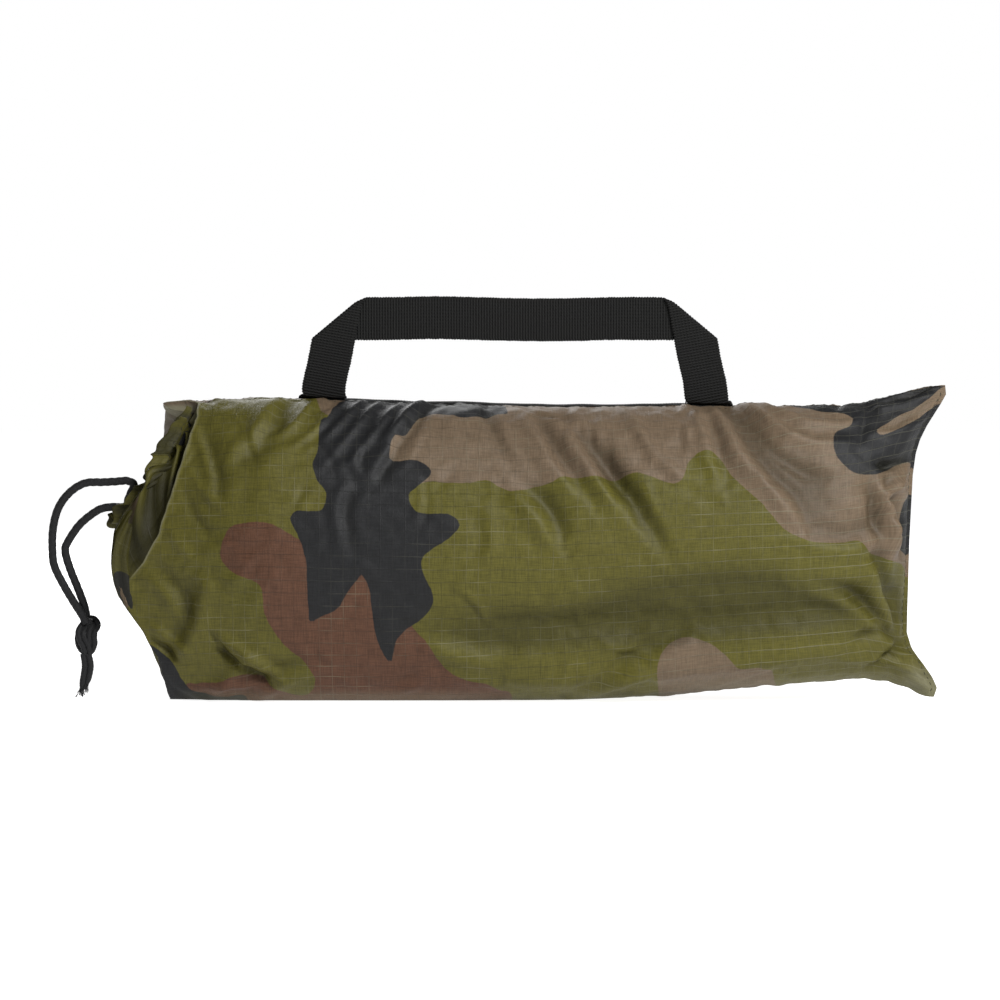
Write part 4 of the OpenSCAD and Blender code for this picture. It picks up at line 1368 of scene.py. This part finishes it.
def build_bartacks():
    def on_foot(x, d):
        return on_sack(x, GIRTH - d, UNDER_STRAP)

    parts = []
    for x0 in FOOT_BOX_X:
        parts += box_cross((x0, FOOT_BOX_DOWN), FOOT_BOX_SIZE, on_foot, FOOT_LIFT + WEB_T / 2)
    place(mesh_object("foot_stitching", *join_parts(parts), THREAD_LIGHT), "handle_bartacks")


# ------------------------------------------------------------------ gathered hem


HEM_SECTION = [      # (distance left of the neck, distance out from it, depth of the ruffles)
    (-4, 0.5, 1.6), (-1, -1.4, 2.2), (1.5, -1.6, 2.6), (3.5, 0.8, 4.2), (5.5, 3.0, 5.4), (8, 4.2, 6.0),
    (11, 4.4, 6.2), (13.5, 4.8, 6.6), (15.2, 4.6, 6.8), (14.4, 3.0, 6.2), (11, 0.6, 4.6), (8, -2.4, 3.0),
    (4, -4.8, 2.0), (-1, -6.4, 1.2), (-8, -8.2, 0.5), (-12, -10.4, 0.0)]
RUFFLES = 9
HEM_OUT_TOP, HEM_OUT_LOW = 0.5, 1.9     # how far the rim stands out at the top and at the bottom
HEM_SHADE = 0.14                          # painted shade over the whole hem, which lies in its own shade
NOTCH_Z, NOTCH_IN = -8.0, 5.0             # the cord draws the rim in here, measured from the neck's centre


def hem_surface(cols):
    """Ruffled hem: out of the neck, through the cord's grip, out to a flared rim and back inside, with its
    painted shade.
    """
    turn = np.linspace(0, 2 * np.pi, cols)
    guide = even(catmull(HEM_SECTION, 6), 0.55)
    out, reach, depth = guide[:, 0:1], guide[:, 1:2], guide[:, 2:3]
    high = (0.5 + 0.5 * np.cos(turn))[None, :]
    wave = np.cos(turn * RUFFLES + 1.2 * np.sin(turn * 2 + 1.0) + 0.7 * np.sin(turn * 3))
    wave = (np.sign(wave) * np.abs(wave) ** 0.85)[None, :]
    side = np.sin(turn * RUFFLES + 1.0)[None, :]
    fine = np.sin(turn * 23 + 1.1 * np.sin(turn * 2))[None, :]
    more = reach + depth * 0.55 * wave
    shrink = np.clip(1 + (reach + 2.0) / 9, 0.05, 1)
    y = -np.sin(turn)[None, :] * (NECK_RY + 1 + more * 0.9) * shrink + 0.3 * depth * side
    z = np.cos(turn)[None, :] * (NECK_RZ + 1 + more) * shrink + 0.25 * depth * side
    x = -out * lerp(HEM_OUT_LOW, HEM_OUT_TOP, high) + NECK_LEAN * z / (NECK_RZ + 1) + 0.12 * depth * fine
    x = x + 0.30 * depth * wave * smooth((out - 2) / 8)
    x = x + NOTCH_IN * np.exp(-(((z - NOTCH_Z) / 4.5) ** 2)) * smooth((out - 5) / 8)
    p = np.stack([x + NECK[0], y + NECK[1], z + NECK[2]], -1)
    run = run_along(guide[:, :2])
    # painted shade: darkest in the ruffles' valleys and towards the neck
    valley = smooth((0.25 - wave) / 1.1) * np.clip(depth / 6, 0, 1)
    inner = smooth((2.5 - out) / 4)
    return p, run, np.clip(HEM_SHADE + 0.62 * valley + 0.5 * inner, 0, 0.88) + 0 * wave


HEM_COLS = 361
HEM_STITCH_ROWS = (16, 24)
HEM_RUN = -305.0         # where the hem's cloth starts, measured along the sack
NO_PATCH = -20.0         # the hem is plain green: it lies this far outside every patch of the print
NECK_CORD_R, NECK_CORD_IN, NECK_CORD_X = 1.5, 1.2, -1.8


def build_hem():
    p, run, cavity = hem_surface(HEM_COLS)
    u = HEM_RUN - run[:, None] + 0 * p[..., 0]
    s = np.broadcast_to(np.linspace(0, GIRTH, HEM_COLS), u.shape)
    fields = {key: np.full(u.shape, NO_PATCH) for key in ("camo_tan", "camo_brown", "camo_black")}
    fields.update(fab_u=u, fab_s=s, cavity=cavity)
    hem = mesh_object("mouth_ruffle", p.reshape(-1, 3), grid_faces(*u.shape), CAMO, fields)
    place(hem, "mouth_hem")
    return p


def build_hem_stitches(p):
    rings = []
    for row in HEM_STITCH_ROWS:
        normals = grid_normals(p[row - 2:row + 3])[2]
        away = p[row] - NECK
        normals = normals * np.sign(np.sum(normals * away * [0, 1, 1], axis=-1, keepdims=True))
        rings += stitches(p[row] + normals * 0.1, normals, 2.2, 1.0, 0.2)
    place(mesh_object("hem_thread", *join_parts(rings), THREAD), "hem_stitches")


def build_neck_cord():
    turn = np.linspace(0, 2 * np.pi, 160, endpoint=False)
    ry, rz = NECK_RY - NECK_CORD_IN, NECK_RZ - NECK_CORD_IN
    x = NECK_CORD_X + NECK_LEAN * np.cos(turn)
    path = NECK + np.stack([x, -ry * np.sin(turn), rz * np.cos(turn)], -1)
    ring = tube(path, NECK_CORD_R, 16, closed=True, braid=0.07)
    place(mesh_object("cord_round_neck", *ring, CORD), "cord_in_hem")


# ------------------------------------------------------------------ the rolled bivy inside

ROLL_Z, ROLL_RY, ROLL_RZ = 86.0, 48.0, 75.0
ROLL_PITCH, ROLL_TURNS = 8.0, 3
SHEET_HALF = 1.2
SHEET_ROWS, SHEET_POINTS = 90, 200


def roll_point(x, turn, depth):
    """Spot in the roll at a turn (radians) and a depth below its outer surface."""
    return np.stack([x, (ROLL_RY - depth) * np.cos(turn), ROLL_Z + (ROLL_RZ - depth) * np.sin(turn)], -1)


def rolled_sheet(name, node, material, x0, x1, depth, seed):
    """A long sheet of cloth in a spiral, with slight ripples and uneven ends."""
    rng = np.random.default_rng(seed)
    turn = np.linspace(0, 2 * np.pi * ROLL_TURNS, SHEET_POINTS)
    share = np.linspace(0, 1, SHEET_ROWS)[:, None]
    uneven = [1.6 * noise1(SHEET_POINTS, 9, rng) for _ in range(2)]
    x = lerp(x0 + 2 + uneven[0], x1 - 2 + uneven[1], share)
    ripple = 0.22 * np.sin(turn * 11 + 3 * np.sin(share * 7 + seed)) + 0.12 * np.sin(turn * 29 + share * 20)
    middle = depth + SHEET_HALF + 0.3 + ROLL_PITCH * turn / (2 * np.pi) + ripple
    outer = roll_point(x, turn + 0 * x, middle - SHEET_HALF)
    inner = roll_point(x, turn + 0 * x, middle + SHEET_HALF)
    p = np.concatenate([outer, inner[:, ::-1]], axis=1)
    run = run_along(outer[0, :, 1:])
    s = np.concatenate([run, run[::-1]]) + 0 * p[..., 0]
    u = p[..., 0]
    n, m = u.shape
    faces = grid_faces(n, m, wrap_cols=True)
    for first in (0, (n - 1) * m):
        for j in range(SHEET_POINTS - 1):
            face = [first + j, first + j + 1, first + m - 2 - j, first + m - 1 - j]
            faces.append(face if first else face[::-1])
    fields = {"fab_u": u, "fab_s": s}
    if material is CAMO:
        fields.update(camo_fields(u, s % GIRTH))
    place(mesh_object(name, p.reshape(-1, 3), faces, material, fields), node)


TIE_W, TIE_T, TIE_LIFT = 15.0, 1.2, 1.6
TIE_STARTS = (-105.0, 70.0)


def build_ties():
    """Two bands of webbing round the roll."""
    turn = np.linspace(0, 2 * np.pi, 900, endpoint=False)[:, None]
    parts, marks = [], []
    for x0 in TIE_STARTS:
        loop = section_loop(TIE_W, TIE_T, 14)
        length = np.sqrt((ROLL_RY**2 + ROLL_RZ**2) / 2) * turn
        rib = 0.07 * np.sin(2 * np.pi * length / RIB)
        w, t = loop[None, :, 0] + 0 * turn, loop[None, :, 1] + np.sign(loop[None, :, 1]) * rib
        p = roll_point(x0 + TIE_W / 2 + w, turn + 0 * w, -(TIE_LIFT + t))
        parts.append((p.reshape(-1, 3), grid_faces(*w.shape, wrap_rows=True, wrap_cols=True)))
        marks.append(np.stack([length + 0 * w, w], -1).reshape(-1, 2))
    place(mesh_object("roll_tie_bands", *join_parts(parts), WEBBING, web_marks(marks)), "roll_ties")


LOCK = np.array([-145.0, 0.0, 90.0])
LOOP_X, LOOP_R = 55.0, 16.0
HOOD_CORD_R = 1.5


def build_hood_cord():
    """The hood's cord: two strands through the lock, which spread into a loop."""
    arm = [(-14, 3), (0, 3), (12, 3), (22, 4.2), (33, 8.6), (44, 13.6)]
    bow = [(LOOP_X + LOOP_R * math.cos(a), LOOP_R * math.sin(a)) for a in np.radians([68, 35, 0, -35, -68])]
    outline = arm + bow + [(x, -z) for x, z in arm[::-1]]
    path = LOCK + even(catmull([(x, 0, z) for x, z in outline], 12), 0.35)
    cord = tube(path, HOOD_CORD_R, 18, braid=0.07, pitch=3.2)
    place(mesh_object("hood_cord_loop", *cord, CORD), "hood_drawcord")


SPRING_R, SPRING_WIRE, SPRING_COILS = 4.0, 0.45, 3
SPRING_LOW, SPRING_HIGH = -14.95, -8.65      # heights of the wire's middle, from the lock's cord slot


def build_spring():
    """The cord lock's spring, as a coil of fixed shape. On the real lock the button squeezes it as it goes
    down.
    """
    share = np.linspace(0, 1, 170)
    turn = 2 * np.pi * SPRING_COILS * share
    rise = np.interp(share, [0, 0.14, 0.86, 1], [0, 0.05, 0.95, 1])
    z = lerp(SPRING_LOW, SPRING_HIGH, rise)
    path = LOCK + np.stack([SPRING_R * np.cos(turn), SPRING_R * np.sin(turn), z], -1)
    spring = mesh_object("cord_lock_coil_spring", *tube(path, SPRING_WIRE, 10), STEEL)
    place(spring, "cord_lock_spring")
    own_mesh(spring)


ZIP_X0, ZIP_X1, ZIP_Z = -55.0, 150.0, 86.0
TAPE_IN, TAPE_W, TAPE_T, TAPE_RIB = 2.15, 11.0, 0.7, 1.1
COIL_END, COIL_PITCH = 143.1, 1.3
COIL_WIRE = 0.26
COIL_RY, COIL_RZ, CORE_R = 1.25, 1.45, 0.6


def build_zip_tapes():
    """Woven tapes with a corded inner edge."""
    parts, marks = [], []
    x = np.arange(ZIP_X0, ZIP_X1 + 0.01, 0.5)[:, None]
    for side in (-1, 1):
        loop = section_loop(TAPE_W, TAPE_T, 16)
        bead = np.exp(-(((loop[:, 0] + TAPE_W / 2 - 0.6) / 0.5) ** 2))
        w = loop[None, :, 0] + 0 * x
        weave = 0.03 * np.sin(2 * np.pi * x / TAPE_RIB)
        t = loop[None, :, 1] * (1 + 0.45 * bead) + np.sign(loop[None, :, 1]) * weave
        y = side * (TAPE_IN + TAPE_W / 2 + w)
        p = np.stack([x + 0 * w, y, ZIP_Z + t + 0.08 * np.sin(x / 17 + side)], -1)
        faces = grid_faces(*w.shape, wrap_cols=True) + end_caps(*w.shape)
        if side > 0:
            faces = [face[::-1] for face in faces]
        parts.append((p.reshape(-1, 3), faces))
        marks.append(np.stack([x * RIB / TAPE_RIB + 0 * w, w * 1.6], -1).reshape(-1, 2))
    place(mesh_object("zip_tape_pair", *join_parts(parts), WEBBING, web_marks(marks)), "zip_tapes")


def build_zip_coil():
    """Two coils that mesh between the tapes, each with a core."""
    coils = []
    for side in (-1, 1):
        turn = np.arange(0, 2 * np.pi * (COIL_END - ZIP_X0 - 1) / COIL_PITCH, 2 * np.pi / 14)
        phase = turn + (np.pi if side > 0 else 0)
        x = ZIP_X0 + 0.5 + turn * COIL_PITCH / (2 * np.pi)
        path = np.stack([x, side * (0.45 + COIL_RY * np.cos(phase)), ZIP_Z + COIL_RZ * np.sin(phase)], -1)
        coils.append(tube(path, COIL_WIRE, 6))
        core = np.array([(ZIP_X0, side * 0.9, ZIP_Z), (COIL_END, side * 0.9, ZIP_Z)])
        coils.append(tube(core, CORE_R, 10))
    place(mesh_object("zip_coil_pair", *join_parts(coils), PLASTIC), "zip_coil")


build_handle()
build_seam_run()
build_bartacks()
build_top_seam()
build_end_seam()
build_hem_stitches(build_hem())
build_neck_cord()
build_cords()
build_knot()
build_tails()
rolled_sheet("groundsheet_roll", "bivy_groundsheet", LINER, x0=-185, x1=165, depth=0, seed=31)
rolled_sheet("top_sheet_roll", "bivy_top_sheet", CAMO, x0=-179, x1=159, depth=4, seed=37)
build_ties()
build_hood_cord()
build_spring()
build_zip_tapes()
build_zip_coil()

# ------------------------------------------------------------------ everything else: CAD finishes

CAD_FINISH = {
    "camo_ripstop": CAMO, "black_webbing": WEBBING, "black_cord": CORD, "black_thread": THREAD,
    "groundsheet_coated": LINER, "black_plastic": PLASTIC, "spring_steel": STEEL, "zip_metal": ENAMEL,
}


def dress_cad():
    for name, obj in frame["nodes"].items():
        for slot in obj.material_slots:
            slot.link = "DATA"
        obj.data.materials.clear()
        obj.data.materials.append(CAD_FINISH[SLOTS[name]])


dress_cad()

# ------------------------------------------------------------------ stage


def area_light(name, at, aim, size, power, size_y=None):
    light = bpy.data.lights.new(name, "AREA")
    light.shape = "RECTANGLE"
    light.size, light.size_y = size, size_y or size
    light.energy = power
    obj = bpy.data.objects.new(name, light)
    bpy.context.scene.collection.objects.link(obj)
    obj.location = at
    obj.rotation_mode = "QUATERNION"
    obj.rotation_quaternion = (Vector(aim) - Vector(at)).to_track_quat("-Z", "Y")


FLOOR_SIZE = 12.0        # in metres, like the places of the lights and of the camera
SEEN_WHITE = 1.0         # brightness of the surroundings as the camera sees them
AMBIENT = 0.15           # their brightness as a light
FLOOR_GLOW = (0.42, 0.90)  # the floor's own light, on the object and as the camera sees it


def by_camera(nodes, links, low, high):
    """high for rays from the camera, else low."""
    node = nodes.new("ShaderNodeMapRange")
    links.new(nodes.new("ShaderNodeLightPath").outputs["Is Camera Ray"], node.inputs[0])
    node.inputs[3].default_value = low
    node.inputs[4].default_value = high
    return node.outputs[0]


def build_floor():
    floor_mat = new_material("floor", roughness=0.9, color=(0.8, 0.8, 0.8), specular=0.1)
    nodes, links = floor_mat.node_tree.nodes, floor_mat.node_tree.links
    shader = nodes["Principled BSDF"]
    shader.inputs["Emission Color"].default_value = (1, 1, 1, 1)
    links.new(by_camera(nodes, links, *FLOOR_GLOW), shader.inputs["Emission Strength"])
    half = FLOOR_SIZE / 2 / MM
    corners = [(x, y, 0) for y in (-half, half) for x in (-half, half)]
    mesh_object("floor", corners, [(0, 1, 3, 2)], floor_mat)


def build_world():
    world = bpy.data.worlds.new("studio")
    world.use_nodes = True
    nodes, links = world.node_tree.nodes, world.node_tree.links
    sky = nodes["Background"]
    sky.inputs[0].default_value = (1, 1, 1, 1)
    links.new(by_camera(nodes, links, AMBIENT, SEEN_WHITE), sky.inputs[1])
    bpy.context.scene.world = world
    bpy.context.scene.view_settings.view_transform = "Standard"


def build_lights():
    target = (0, 0, 0.1)
    area_light("key", at=(0.85, -1.15, 1.12), aim=target, size=0.7, power=29, size_y=0.35)
    area_light("back", at=(-0.4, 1.5, 0.9), aim=target, size=1.0, power=13)


LENS = 136
CAMERA_REACH = 2.2
CAMERA_TILT = math.radians(2.5)          # the photo looks down this much
PICTURE_CENTRE = Vector((-0.023, 0.0, 0.115))


def build_camera():
    data = bpy.data.cameras.new("camera")
    data.lens = LENS
    cam = bpy.data.objects.new("camera", data)
    bpy.context.scene.collection.objects.link(cam)
    away = Vector((0, -math.cos(CAMERA_TILT), math.sin(CAMERA_TILT)))
    cam.location = PICTURE_CENTRE + away * CAMERA_REACH
    cam.rotation_mode = "QUATERNION"
    cam.rotation_quaternion = (-away).to_track_quat("-Z", "Y")
    data.clip_end = 50
    bpy.context.scene.camera = cam


build_floor()
build_world()
build_lights()
build_camera()
